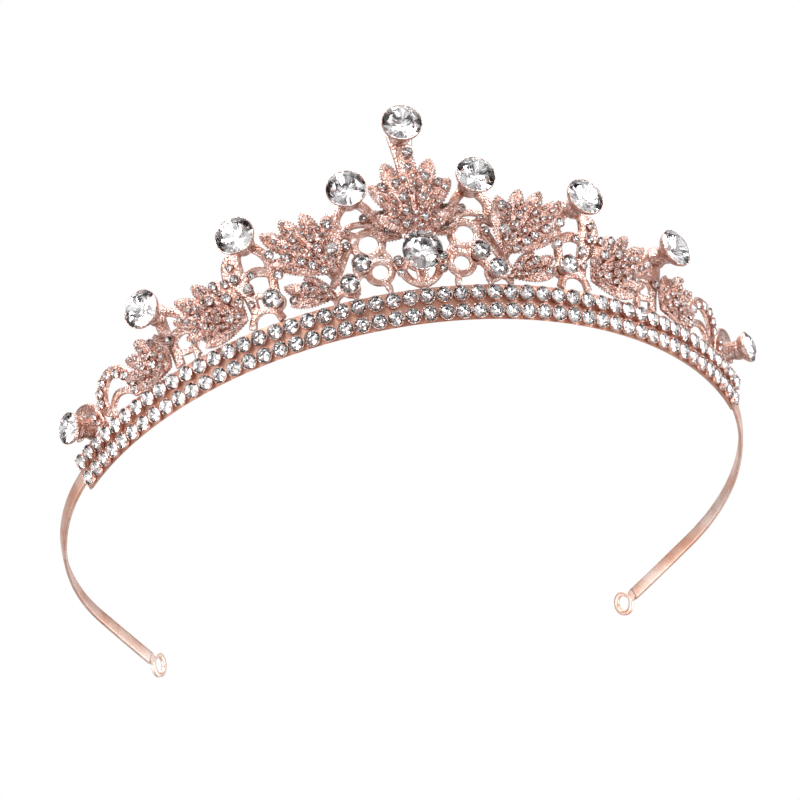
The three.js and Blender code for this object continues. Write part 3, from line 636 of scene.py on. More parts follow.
class Leaf:
    """One cast leaf: toothed lobes with a crowned face, raised double veins and small grains."""

    def __init__(self, base, lobes, back, cup, stones):
        self.base, self.lobes, self.back, self.cup, self.stones = base, lobes, back, cup, stones

    def face_height(self, points, outline):
        """Height of the leaf's face above its back at each (u, v)."""
        edge = edge_distance(points, outline)
        offset = points - np.array(self.base)
        reach = np.hypot(offset[:, 0], offset[:, 1])
        heading = np.degrees(np.arctan2(offset[:, 1], offset[:, 0]))
        turns = np.array([lobe[0] for lobe in self.lobes])
        lengths = np.array([lobe[1] for lobe in self.lobes])
        nearest = np.abs(heading[:, None] - turns[None]).argmin(1)
        away = np.radians(heading - turns[nearest])
        along, across = reach * np.cos(away), reach * np.sin(away)
        height = 0.35 + 0.75 * (1 - np.exp(-edge / 0.8))
        fade = np.clip(1.05 - along / lengths[nearest], 0, 1)
        vein = np.exp(-((np.abs(across) - 0.34) / 0.16) ** 2)
        height += 0.55 * vein * fade ** 0.5
        if len(self.lobes) > 1:
            middles = (turns[1:] + turns[:-1]) / 2
            crease = np.radians(np.abs(heading[:, None] - middles[None]).min(1)) * reach
            height -= 0.4 * np.exp(-(crease / 0.4) ** 2) * np.clip(reach / 4, 0, 1)
        ribs = np.sin((along - 0.9 * np.abs(across)) * 2 * math.pi / 1.5)
        height += 0.09 * ribs * np.clip(np.abs(across) - 0.5, 0, 1)
        grain = np.array([noise.voronoi(Vector((u, v, 0)) / 0.55)[0][0] for u, v in points])
        return height + 0.34 * (0.5 - grain) * np.clip(edge * 3, 0, 1)

    def lift(self, points):
        """How far the leaf's own plate curls outwards away from its base."""
        offset = np.asarray(points) - np.array(self.base)
        return self.cup * np.hypot(offset[:, 0], offset[:, 1])

    def solid(self, plan):
        outline = lobe_outline(self.base, self.lobes, mm("tooth_pitch"))
        low = np.min([tuple(p) for p in outline], axis=0)
        high = np.max([tuple(p) for p in outline], axis=0)
        rows = np.arange(low[1], high[1], LEAF_GRID * 0.87)
        grid = np.array([(u + (i % 2) * LEAF_GRID / 2, v) for i, v in enumerate(rows)
                         for u in np.arange(low[0], high[0], LEAF_GRID)])
        grid = grid[inside(grid, outline)]
        grid = grid[edge_distance(grid, outline) > LEAF_GRID * 0.5]
        count = len(outline)
        flat = [Vector(p) for p in outline] + [Vector(p) for p in grid]
        made = delaunay_2d_cdt(flat, [(i, (i + 1) % count) for i in range(count)], [], 1, 1e-5)
        points = np.array([tuple(p) for p in made[0]])
        triangles = [tuple(f) for f in made[2]]
        lift = self.back + self.lift(points)
        face = lift + self.face_height(points, outline)
        feet = plan.vine_foot
        top = [(u, v + feet, d) for (u, v), d in zip(points, face)]
        bottom = [(u, v + feet, d) for (u, v), d in zip(points, lift)]
        total = len(points)
        faces = list(triangles) + [tuple(i + total for i in reversed(f)) for f in triangles]
        edges = {}
        for a, b, c in triangles:
            for pair in ((a, b), (b, c), (c, a)):
                edges[pair] = True
        faces += [(b, a, a + total, b + total) for a, b in edges if (b, a) not in edges]
        return Solid(top + bottom, faces), outline

    def pave(self, outline):
        """Small stones that fill the lobes beside their veins, clear of the edge and each other."""
        draw = random.Random(f"{self.base}")
        tries = []
        for turn, reach, _ in self.lobes:
            c, s = math.cos(math.radians(turn)), math.sin(math.radians(turn))
            for aside in (-1, 1, -2.2, 2.2, -3.4, 3.4):
                for along in np.arange(1.5, reach - 0.7, PAVE_PITCH):
                    u = self.base[0] + c * along - s * aside + draw.uniform(-PAVE_STRAY, PAVE_STRAY)
                    v = self.base[1] + s * along + c * aside + draw.uniform(-PAVE_STRAY, PAVE_STRAY)
                    tries.append((u, v))
        places = np.array(tries)
        room = np.where(inside(places, outline), edge_distance(places, outline), 0)
        taken = list(self.stones)
        for (u, v), clear in zip(tries, room):
            radius = PAVE_RADIUS * draw.uniform(*PAVE_RANGE)
            apart = all(math.hypot(u - a, v - b) > radius + r + STONE_GAP for a, b, r in taken)
            if clear > radius + EDGE_GAP and apart:
                taken.append((u, v, radius))
        return taken[len(self.stones):]

    def depths(self, places, outline):
        """The same (u, v, radius) places with how far out the leaf's face lies at each."""
        spots = np.array([(u, v) for u, v, _ in places]).reshape(-1, 2)
        height = self.back + self.lift(spots) + self.face_height(spots, outline)
        return [(u, v, float(h), r) for (u, v, r), h in zip(places, height)]


# Millimetres up the slope for each pitch of height, and how much of that lies under the vines' foot.
SLOPE_STEP, SLOPE_FOOT = 3.47, 5.45
# The chatons' radius as a share of the measured one.
CHATON_SCALE = 1.12


def spot_stones(places):
    """Small stones at measured (pitches along, pitches up, radius in mm) places."""
    pitch = mm("row_pitch")
    return [(s * pitch, SLOPE_STEP * h - SLOPE_FOOT, r * CHATON_SCALE) for s, h, r in places]


def leaf_designs(plan):
    """Every leaf of the right half, and the centre leaf, by name."""
    low, high = plan.low_leaf_back, plan.high_leaf_back
    return {
        "centre_leaf": Leaf((0, 10.4), [(38, 8.6, 1.7), (59, 13.6, 2.2), (76, 16.4, 2), (90, 18.6, 2.6),
                                        (104, 16.4, 2), (121, 13.6, 2.2), (142, 8.6, 1.7)], high, 0.04,
                            spot_stones([(0.1, 9.5, 0.95), (-0.75, 7.7, 0.8), (0.8, 7.9, 0.8),
                                         (-1.5, 7.6, 0.9), (1.5, 7.6, 0.7), (-0.45, 5.95, 0.75),
                                         (0.5, 6.7, 0.8), (0.5, 5.5, 0.8), (-0.5, 6.8, 0.8),
                                         (-0.55, 5.2, 0.75), (0, 8.6, 0.7)])),
        "petal": Leaf((2.6, 10.6), [(20, 5.8, 1.5), (50, 8.8, 1.9)], low, 0.05,
                      spot_stones([(1.75, 6.0, 1.0), (1.5, 5.1, 1.0)])),
        "maple_leaf": Leaf((15.4, 5.4), [(26, 13, 1.8), (46, 17, 2.1), (60, 16, 2.1),
                                         (74, 14.6, 2), (91, 12.6, 1.9)], high, 0.05,
                           spot_stones([(4.7, 4.5, 1.1), (4.7, 6.0, 0.9), (5.4, 4.8, 0.95),
                                        (5.7, 5.5, 0.8), (7.2, 4.7, 0.95), (8.0, 5.2, 0.85),
                                        (7.8, 3.9, 0.85), (5.35, 3.4, 0.8), (5.9, 3.8, 0.85),
                                        (6.45, 4.25, 0.8), (6.6, 5.7, 0.7)])),
        "trailing_leaf": Leaf((16.4, 1.1), [(4, 9.2, 1.3), (27, 10.6, 1.5), (48, 8, 1.2)], low, 0.05,
                              spot_stones([(5.6, 2.5, 0.85), (6.6, 2.85, 0.85), (7.4, 2.3, 0.8)])),
        "side_leaf": Leaf((34, 2.2), [(-10, 9.8, 1.6), (8, 12.8, 1.9), (24, 15.4, 2.1), (39, 16, 2.1),
                                      (54, 14.2, 2), (71, 11, 1.8)], low, 0.06,
                          spot_stones([(10.45, 3.3, 0.9), (11.0, 3.8, 0.85), (12.0, 4.1, 0.85),
                                       (11.2, 2.6, 0.8), (11.9, 2.9, 0.8), (12.8, 2.9, 0.8),
                                       (12.9, 2.2, 0.75), (11.6, 4.9, 0.75), (10.9, 4.7, 0.75)])),
        "outer_leaf": Leaf((51.8, 0.7), [(0, 8.8, 1.5), (18, 10.4, 1.9), (38, 11, 2), (60, 10.4, 1.9),
                                        (84, 8, 1.5)], low, 0.06,
                           spot_stones([(16.4, 3.7, 0.8), (16.9, 3.1, 0.8), (17.4, 2.7, 0.8),
                                        (16.6, 2.4, 0.75)])),
    }


# --- vines

VINE_SPREAD = 1.4


def wire(plan, stations, steps=16):
    """A cast strand through [u, height above the rail, width] stations."""
    line = smooth_line(stations, steps)
    depth = (plan.vine_back + plan.vine_front) / 2
    path = [(u, max(v, 0.2) + plan.vine_foot, depth) for u, v, _ in line]
    return swept(path, [w * VINE_SPREAD for _, _, w in line], mm("vine_thickness"))


def eye(plan, u, v, across, up, rim):
    """An open ring in a vine."""
    turns = [2 * math.pi * k / 28 for k in range(28)]
    depth = (plan.vine_back + plan.vine_front) / 2
    path = [(u + (across + rim / 2) * math.cos(t), v + (up + rim / 2) * math.sin(t) + plan.vine_foot, depth)
            for t in turns]
    return swept(path, [rim] * len(path), mm("vine_thickness"), closed=True)


def pad(plan, u, v, radius):
    """A round pad that a setting is soldered to."""
    half = mm("vine_thickness") / 2
    disc = lathe([(0, -half), (radius * 0.9, -half), (radius, -half * 0.5), (radius, half * 0.5),
                  (radius * 0.9, half), (0, half)], 20)
    return Solid().add(disc, Matrix.Translation((u, v + plan.vine_foot, plan.vine_back + half)))


TOP_STONES = [("centre", 0, 33.3), ("1", 10.9, 21.2), ("2", 30.9, 18.3), ("3", 51.2, 13), ("4", 76.5, 2.4)]
SIDE_STONES = [("1", 10.9, 6), ("2", 13.8, 2.3), ("3", 28, 3.9)]
CENTRE_STONE = (0, 6.4)
# How far that stone is spun in its cup, in radians.
CENTRE_TURN = 0.3
POST_RADIUS = 1.3
PAD_RADIUS = 1.9
TOP_GIRDLE_DEPTH, CENTRE_GIRDLE_DEPTH, SIDE_GIRDLE_DEPTH = 7.2, 6.0, 4.9


def centre_stem(plan):
    _, top_u, top_v = TOP_STONES[0]
    parts = [wire(plan, [(0, 0, 1.6), (0, 16, 1.8), (0, 26, 2.2), (top_u, top_v, 3.4)]),
             pad(plan, top_u, top_v, PAD_RADIUS), pad(plan, *CENTRE_STONE, 3)]
    for side in (-1, 1):
        parts += [wire(plan, [(side * 0.3, 0.5, 1), (side * 2.4, 1.9, 1.1), (side * 4, 4.4, 1.4)]),
                  pad(plan, side * 3.7, 4.9, 1.3)]
    return parts


def inner_vine(plan):
    (_, u1, v1), (_, u2, v2), _ = SIDE_STONES
    _, tu, tv = TOP_STONES[1]
    rings = [eye(plan, 9, 10.7, 1.8, 1.8, 1.6), eye(plan, 7.8, 4.6, 1.5, 1.5, 1.5)]
    pads = [pad(plan, u1, v1, PAD_RADIUS), pad(plan, u2, v2, PAD_RADIUS), pad(plan, tu, tv, PAD_RADIUS)]
    strands = [
        [(6.9, 0, 1.4), (6.7, 1.2, 1), (7.2, 2.6, 1)],
        [(5.7, 5, 0.9), (5.7, 7, 0.9), (6.8, 9, 1)],
        [(u1, v1, 1.2), (10.4, 8.6, 1)],
        [(u1, v1, 1.2), (u2, v2, 1.2)],
        [(u2, v2, 1), (u2 - 1.2, 0, 1.4)],
        [(u2, v2, 1), (16.4, 1.4, 1), (17.6, 0, 1.4)],
        [(7.4, 12.8, 1.2), (7.4, 15.6, 1.3), (8.3, 18.4, 1.4), (tu, tv, 1.6)],
        [(10.6, 12.6, 1.2), (13.4, 14.4, 1.3), (13.9, 17.4, 1.4), (tu, tv, 1.6)],
        [(7.6, 14.8, 1), (10.6, 15.3, 1), (13.4, 14.6, 1)],
        [(u2, v2, 1.2), (16.6, 6.2, 1.2), (19.4, 11.4, 1.1), (22.4, 16.4, 0.9)],
        [(tu + 1.4, tv - 1, 1.2), (15.2, 17.2, 1.4), (15.9, 14.6, 1.2), (14.9, 12.8, 1.1), (13.4, 13.6, 1)],
        [(10.9, 12, 1.2), (12.9, 10.9, 1.5), (14.3, 8.4, 1.4), (15.6, 6, 1.3), (17.2, 3.4, 1)],
    ]
    return rings + pads + [wire(plan, s) for s in strands]


def middle_vine(plan):
    _, bu, bv = SIDE_STONES[2]
    _, tu, tv = TOP_STONES[2]
    strands = [
        [(27.6, 0, 1.3), (28.6, 2.4, 1.1), (30.9, 3.3, 1.1), (33, 2.4, 1.1), (34, 0, 1.3)],
        [(bu, bv, 1.4), (27.6, 9, 1.3), (27.8, 14, 1.3), (tu, tv, 1.6)],
        [(32.4, 2.8, 1.4), (32.7, 7, 1.8), (33.6, 12, 1.9), (33.2, 16, 1.6), (tu, tv, 1.6)],
        [(27.7, 10.4, 1.3), (30.5, 11.6, 1.6), (33.4, 10.8, 1.3)],
        [(bu, bv, 1.2), (30.6, 6.4, 1), (32.8, 6.6, 1)],
        [(32.9, 7, 1.2), (35.2, 10.4, 2), (35.4, 14.6, 1.6), (34.4, 17, 0.6)],
    ]
    pads = [pad(plan, bu, bv, PAD_RADIUS), pad(plan, tu, tv, PAD_RADIUS)]
    return pads + [wire(plan, s, 20) for s in strands]


def outer_vine(plan):
    _, tu, tv = TOP_STONES[3]
    strands = [
        [(46, 0, 1.4), (46.2, 1.6, 1.1), (46.6, 2.8, 1)],
        [(50.4, 0, 1.6), (50.5, 4, 1.6), (51.2, 8.5, 1.9), (tu, tv, 2)],
        [(46, 5.6, 1.1), (46.3, 8.8, 1.2), (48.3, 11.4, 1.3), (tu, tv, 1.6)],
        [(46.2, 6.8, 1), (48.4, 7.3, 1), (50.9, 6.6, 1)],
    ]
    ring = eye(plan, 47.7, 4.4, 1.9, 1.5, 1.3)
    return [ring, pad(plan, tu, tv, PAD_RADIUS)] + [wire(plan, s) for s in strands]


def scroll(plan):
    strands = [
        [(61.6, 0, 1.6), (61.4, 3, 1.9), (63.2, 6.6, 2), (66.6, 8.2, 2), (69.8, 6.2, 2),
         (70.9, 3, 1.9), (69.4, 0.9, 1.6)],
        [(61.6, 0.6, 1), (63.6, 2.6, 1.1), (66.4, 3.4, 1.2), (68.4, 2.2, 1), (69.4, 0.9, 1.2)],
        [(68.6, 0, 1.2), (69.4, 1, 1.4)],
    ]
    return [wire(plan, s, 28) for s in strands]


def end_curl(plan):
    _, tu, tv = TOP_STONES[4]
    strands = [
        [(73, 0, 1.4), (73.4, 2.6, 1.8), (75, 5.2, 2.2), (77.9, 6.2, 2), (80.4, 4.6, 1.6), (81.2, 2, 1.2)],
        [(74.4, 4.2, 1.4), (tu, tv, 1.6)],
    ]
    return [pad(plan, tu, tv, PAD_RADIUS)] + [wire(plan, s, 24) for s in strands]


# --- operators

class TiaraPiece:
    """What every tiara operator shares."""

    bl_options = {"REGISTER", "UNDO"}

    def execute(self, context):
        self.build(Plan())
        return {"FINISHED"}


class TIARA_OT_strap(TiaraPiece, bpy.types.Operator):
    """Builds the sprung head strap with softly rounded edges"""

    bl_idname = "tiara.strap"
    bl_label = "Head strap"

    def build(self, plan):
        half = mm("strap_end")
        count = round(2 * half / 1.2)
        line = [(-half + 2 * half * i / count, mm("strap_middle"), 0) for i in range(count + 1)]
        band = swept(line, [mm("strap_width")] * len(line), mm("strap_thickness"), section=16,
                     squareness=0.45)
        make_piece("strap", band.wrapped(plan), [polished_rose_gold()], ["head_strap"])


class TIARA_OT_loops(TiaraPiece, bpy.types.Operator):
    """Builds the flat loop at the end of each tail"""

    bl_idname = "tiara.loops"
    bl_label = "End loops"

    def build(self, plan):
        neck = mm("strap_end") - 0.6
        long, high = mm("loop_length"), mm("loop_height")
        rim = 1.25
        middle = neck + 0.7 + long * 0.55
        path = []
        for k in range(36):
            turn = 2 * math.pi * k / 36
            narrow = 1 - 0.24 * max(0, -math.cos(turn)) ** 2
            path.append((middle + (long * 0.45 - rim / 2) * math.cos(turn),
                         mm("strap_middle") + (high - rim) / 2 * math.sin(turn) * narrow, 0))
        ring = swept(path, [rim] * len(path), 1.15, closed=True)
        neck_line = [(neck, mm("strap_middle"), 0), (neck + 1.2, mm("strap_middle"), 0),
                     (middle - long * 0.45 + 0.7, mm("strap_middle"), 0)]
        ring.add(swept(neck_line, [mm("strap_width") * 0.96, mm("strap_width") * 0.9, 2.0], 1.05,
                       squareness=0.5))
        loop = fused(ring, 0.12, 3)
        for side, shape in (("right", loop), ("left", loop.mirrored())):
            make_piece(f"loop_{side}", shape.wrapped(plan), [polished_rose_gold()],
                       [f"end_loop_{side}"])


# The rail's underside starts a little above its foot and rises towards its back at this slope,
# so the lower stones stand over it.
FOOT_TRIM, FOOT_BEVEL = 0.25, 0.35


class TIARA_OT_rail(TiaraPiece, bpy.types.Operator):
    """Builds the cast rail that carries the stone rows"""

    bl_idname = "tiara.rail"
    bl_label = "Rail"

    def build(self, plan):
        half = mm("rail_half_length")
        tall, back, front = plan.rail_height, plan.rail_back, plan.rail_front
        edge = 0.18
        outline = [(0, front), (tall - edge, front), (tall, front - edge), (tall, back + edge),
                   (tall - edge, back), (0, back)]
        count = round(2 * half / 1.1)
        points, faces = [], []
        for i in range(count + 1):
            u = -half + 2 * half * i / count
            past = max(0.0, abs(u) - half + 3) / 3
            top = tall - past ** 2 * (tall - mm("strap_middle") - mm("strap_width") / 2)
            for y, d in outline:
                lapped = FOOT_TRIM + (front - d) * FOOT_BEVEL if y == 0 else y * top / tall
                points.append((u, lapped, d))
        ring = len(outline)
        for i in range(count):
            for k in range(ring):
                a, b = i * ring + k, i * ring + (k + 1) % ring
                faces.append((a, b, b + ring, a + ring))
        faces += [tuple(reversed(range(ring))), tuple(range(count * ring, (count + 1) * ring))]
        make_piece("rail", Solid(points, faces).wrapped(plan), [rail_rose_gold()],
                   ["front_rail"], sharp=35)


# The gap between two stones of a row, and how far one is turned, spun and tipped at random, in radians.
ROW_STONE_GAP = 0.2
ROW_TURN, ROW_SPIN, ROW_TIP = 0.07, 0.8, 0.08


class TIARA_OT_stone_rows(TiaraPiece, bpy.types.Operator):
    """Builds both rows of stones, each stone in its own cup"""

    bl_idname = "tiara.stone_rows"
    bl_label = "Stone rows"

    def build(self, plan):
        radius = mm("row_pitch") / 2 - ROW_STONE_GAP / 2
        reach = int((mm("rail_half_length") - plan.row_radius) / mm("row_pitch"))
        girdle = plan.row_back + mm("row_cup_depth")
        cup = stone_cup(radius, mm("row_cup_depth") + 0.06, radius * 0.97, sides=20)
        stone = brilliant(radius, mm("row_cup_depth"))
        lower, upper = plan.lower_row - mm("row_drop"), plan.upper_row - mm("row_drop") - mm("row_draw")
        for name, height in (("lower", lower), ("upper", upper)):
            cups, stones = Solid(), Solid()
            for i in range(-reach, reach + 1):
                draw = random.Random(f"{name} {i}")
                seat = plan.seat(i * mm("row_pitch"), height, girdle, draw.uniform(-ROW_TURN, ROW_TURN))
                cups.add(cup, seat)
                stones.add(stone, seat @ Matrix.Rotation(draw.uniform(0, ROW_SPIN), 4, "Z")
                           @ Matrix.Rotation(draw.uniform(-ROW_TIP, ROW_TIP), 4, "Y"))
            make_piece(f"{name}_row_cups", cups, [cast_rose_gold()],
                       [f"{name}_stone_row"], sharp=50)
            make_stones(f"{name}_row_stones", stones, [f"{name}_stone_row"])


# How far a small stone's girdle stands out from the metal that it is set in.
STEM_STONE_RISE, STONE_RISE, PAVE_RISE = 0.6, 0.45, 0.26
# The cup of one of the smallest stones is this deep.
PAVE_DEPTH = 0.36


class TIARA_OT_vines(TiaraPiece, bpy.types.Operator):
    """Builds the open cast frames that stand on the rail"""

    bl_idname = "tiara.vines"
    bl_label = "Vines and stem"

    def build(self, plan):
        stem = cast(centre_stem(plan)).wrapped(plan)
        stones = Solid()
        for side in (-1, 1):
            for u, v, radius in spot_stones([(1.25, 3.3, 0.95), (1.2, 2.55, 0.75)]):
                set_stone(plan, stem, stones, side * u, v, plan.vine_front + STEM_STONE_RISE, radius)
        make_piece("stem", stem, [cast_rose_gold()], ["centre_stem"])
        make_stones("stem_stones", stones, [])
        for name, design, places in (
                ("inner_vine", inner_vine, [(3.9, 4.75, 0.8), (4.3, 5.5, 0.7), (2.7, 6.2, 0.75),
                                            (3.7, 5.6, 0.55)]),
                ("middle_vine", middle_vine, [(9.8, 4.0, 0.95), (9.45, 4.75, 0.7), (10.4, 4.9, 0.85),
                                              (10.5, 5.7, 0.7), (8.05, 4.1, 0.6), (9.9, 3.1, 0.6)]),
                ("outer_vine", outer_vine, [(15.3, 3.3, 0.85), (14.2, 3.9, 0.6), (13.8, 2.5, 0.6)])):
            make_pair(plan, name, cast(design(plan)), cast_rose_gold(), spot_stones(places))


class TIARA_OT_scrolls(TiaraPiece, bpy.types.Operator):
    """Builds the scroll and the end curl on each side"""

    bl_idname = "tiara.scrolls"
    bl_label = "Scrolls and end curls"

    def build(self, plan):
        arch = [(u, v, 0.92) for u, v in ((61.5, 1.4), (61.6, 3.3), (62.6, 5.3), (64.4, 6.9), (66.5, 7.7),
                                          (68.5, 7.2), (70, 5.7), (70.8, 3.8))]
        curl = [(73.2, 1, 0.6), (73.6, 2.8, 0.65)]
        for name, design, places in (("scroll", scroll, arch), ("end_curl", end_curl, curl)):
            make_pair(plan, name, cast(design(plan)), cast_rose_gold(), places)


def cast(parts):
    """Overlapping strands, rings and pads run into one casting."""
    whole = Solid()
    for part in parts:
        whole.add(part)
    return fused(whole, 0.17)


def make_pair(plan, name, shape, material, places):
    """A flat casting and its mirror image, each with small stones at the given places."""
    for side, word in ((1, "right"), (-1, "left")):
        metal = (shape if side > 0 else shape.mirrored()).wrapped(plan)
        stones = Solid()
        for u, v, radius in places:
            set_stone(plan, metal, stones, side * u, v, plan.vine_front + STONE_RISE, radius, 0.6)
        make_piece(f"{name}_{word}_casting", metal, [material], [f"{name}_{word}"])
        make_stones(f"{name}_{word}_stones", stones, [])


class TIARA_OT_leaves(TiaraPiece, bpy.types.Operator):
    """Builds the grained leaves with their small set stones"""

    bl_idname = "tiara.leaves"
    bl_label = "Leaves"

    def build(self, plan):
        for name, leaf in leaf_designs(plan).items():
            shape, outline = leaf.solid(plan)
            large = leaf.depths(leaf.stones, outline)
            small = leaf.depths(leaf.pave(outline), outline)
            for side in ((1,) if name == "centre_leaf" else (1, -1)):
                label = name if name == "centre_leaf" else f"{name}_{'right' if side > 0 else 'left'}"
                metal = (shape if side > 0 else shape.mirrored()).wrapped(plan)
                stones = Solid()
                for u, v, face, radius in large:
                    set_stone(plan, metal, stones, side * u, v, face + STONE_RISE, radius)
                for u, v, face, radius in small:
                    set_stone(plan, metal, stones, side * u, v, face + PAVE_RISE, radius, PAVE_DEPTH, 8)
                make_piece(f"{label}_casting", metal, [grained_rose_gold()], [label],
                           sharp=60)
                make_stones(f"{label}_stones", stones, [])


def set_stone(plan, metal, stones, u, v, girdle, radius, depth=0.7, sides=16):
    """A small stone in its own clawed cup, at (u, v) from the middle of the vines' foot."""
    y = v + plan.vine_foot
    seat = plan.seat(u, y, girdle, 0, 3 * u + y)
    metal.add(stone_cup(radius, depth, radius * 0.9, sides=sides), seat)
    stones.add(brilliant(radius, depth - 0.1), seat)


class TIARA_OT_top_crystals(TiaraPiece, bpy.types.Operator):
    """Builds the large crystals along the top, each in a flared cup on its post"""

    bl_idname = "tiara.top_crystals"
    bl_label = "Top crystals"

    def build(self, plan):
        for name, u, v in TOP_STONES:
            radius = mm("end_stone_radius") if name == "4" else mm("top_stone_radius")
            for side in ((0,) if name == "centre" else (-1, 1)):
                label = name if name == "centre" else f"{'left' if side < 0 else 'right'}_{name}"
                self.set_crystal(plan, label, side * u, v + plan.vine_foot, radius)

    def set_crystal(self, plan, label, u, y, radius):
        depth = radius * 0.62 + 0.9
        seat = plan.seat(u, y, TOP_GIRDLE_DEPTH, sizes().top_tilt)
        foot = POST_RADIUS + 0.7
        rim = radius + 0.14
        profile = [(0, -depth), (foot, -depth), (foot + 0.15, -depth * 0.88), (rim * 0.64, -depth * 0.66),
                   (rim * 0.86, -depth * 0.42), (rim * 0.97, -0.7), (rim, -0.3), (rim, 0.06),
                   (rim - 0.04, 0.14), (rim - 0.13, 0.12), (rim - 0.15, -0.2), (rim - 0.5, -0.95),
                   (0, -depth * 0.86)]
        cup = Solid().add(lathe(profile, 48), seat)
        behind = TOP_GIRDLE_DEPTH - plan.vine_front
        drop = (depth - 0.6) * math.sin(sizes().top_tilt)
        post = lathe([(0, -behind), (POST_RADIUS + 1.1, -behind), (POST_RADIUS + 0.7, -behind + 0.8),
                      (POST_RADIUS + 0.6, -behind * 0.6), (POST_RADIUS + 0.8, -depth * 0.9),
                      (0, -depth * 0.9)], 24)
        upright = plan.seat(u, y, TOP_GIRDLE_DEPTH)
        cup.add(post, upright @ Matrix.Translation((0, -drop, 0)))
        make_piece(f"top_cup_{label}", cup, [cast_rose_gold()],
                   [f"top_setting_{label}"], sharp=40)
        make_stones(f"top_stone_{label}", Solid().add(brilliant(radius), seat),
                    [f"top_crystal_{label}"])


class TIARA_OT_centre_crystal(TiaraPiece, bpy.types.Operator):
    """Builds the large centre crystal in its four claws"""

    bl_idname = "tiara.centre_crystal"
    bl_label = "Centre crystal"

    def build(self, plan):
        radius = mm("centre_stone_radius")
        u, v = CENTRE_STONE
        seat = plan.seat(u, v + plan.vine_foot, CENTRE_GIRDLE_DEPTH)
        depth = CENTRE_GIRDLE_DEPTH - plan.low_leaf_back
        basket = lathe([(0, -depth), (radius * 0.6, -depth), (radius * 0.7, -depth * 0.8),
                        (radius * 0.86, -0.9), (radius * 0.92, -0.62), (radius * 0.88, -0.5),
                        (radius * 0.78, -0.9), (0, -depth * 0.85)], 48)
        for k in range(4):
            turn = Matrix.Rotation((k + 0.5) * math.pi / 2, 4, "Z")
            leg = [(radius * 0.86, 0, -1.3), (radius + 0.18, 0, -0.4), (radius + 0.2, 0, 0.3),
                   (radius - 0.12, 0, 0.75), (radius - 0.55, 0, 0.92)]
            for (a, b) in zip(leg, leg[1:]):
                for t in (0, 0.33, 0.66):
                    spot = Vector(a).lerp(Vector(b), t)
                    basket.add(bead(0.33, 0.3), turn @ Matrix.Translation(spot))
        basket = fused(basket, 0.12, 2)
        make_piece("centre_claws", Solid().add(basket, seat), [cast_rose_gold()],
                   ["centre_setting"])
        stone = Solid().add(brilliant(radius), seat @ Matrix.Rotation(CENTRE_TURN, 4, "Z"))
        make_stones("centre_stone", stone, ["centre_crystal"])


class TIARA_OT_side_crystals(TiaraPiece, bpy.types.Operator):
    """Builds the six smaller crystals in their bezels"""

    bl_idname = "tiara.side_crystals"
    bl_label = "Side crystals"

    def build(self, plan):
        radius = mm("side_stone_radius")
        depth = SIDE_GIRDLE_DEPTH - plan.low_leaf_back
        for name, u, v in SIDE_STONES:
            for side, word in ((-1, "left"), (1, "right")):
                seat = plan.seat(side * u, v + plan.vine_foot, SIDE_GIRDLE_DEPTH)
                cup = Solid().add(stone_cup(radius, depth, POST_RADIUS, claws=6, sides=32), seat)
                make_piece(f"side_cup_{word}_{name}", cup, [cast_rose_gold()],
                           [f"side_setting_{word}_{name}"], sharp=45)
                make_stones(f"side_stone_{word}_{name}", Solid().add(brilliant(radius), seat),
                            [f"side_crystal_{word}_{name}"])


# The camera looks up from below and in front: azimuth, elevation and roll in degrees, place in metres.
CAMERA_TURNS = (-10.554, -34.188, -12.855)
CAMERA_PLACE = (-0.09804, -0.52886, -0.34531)


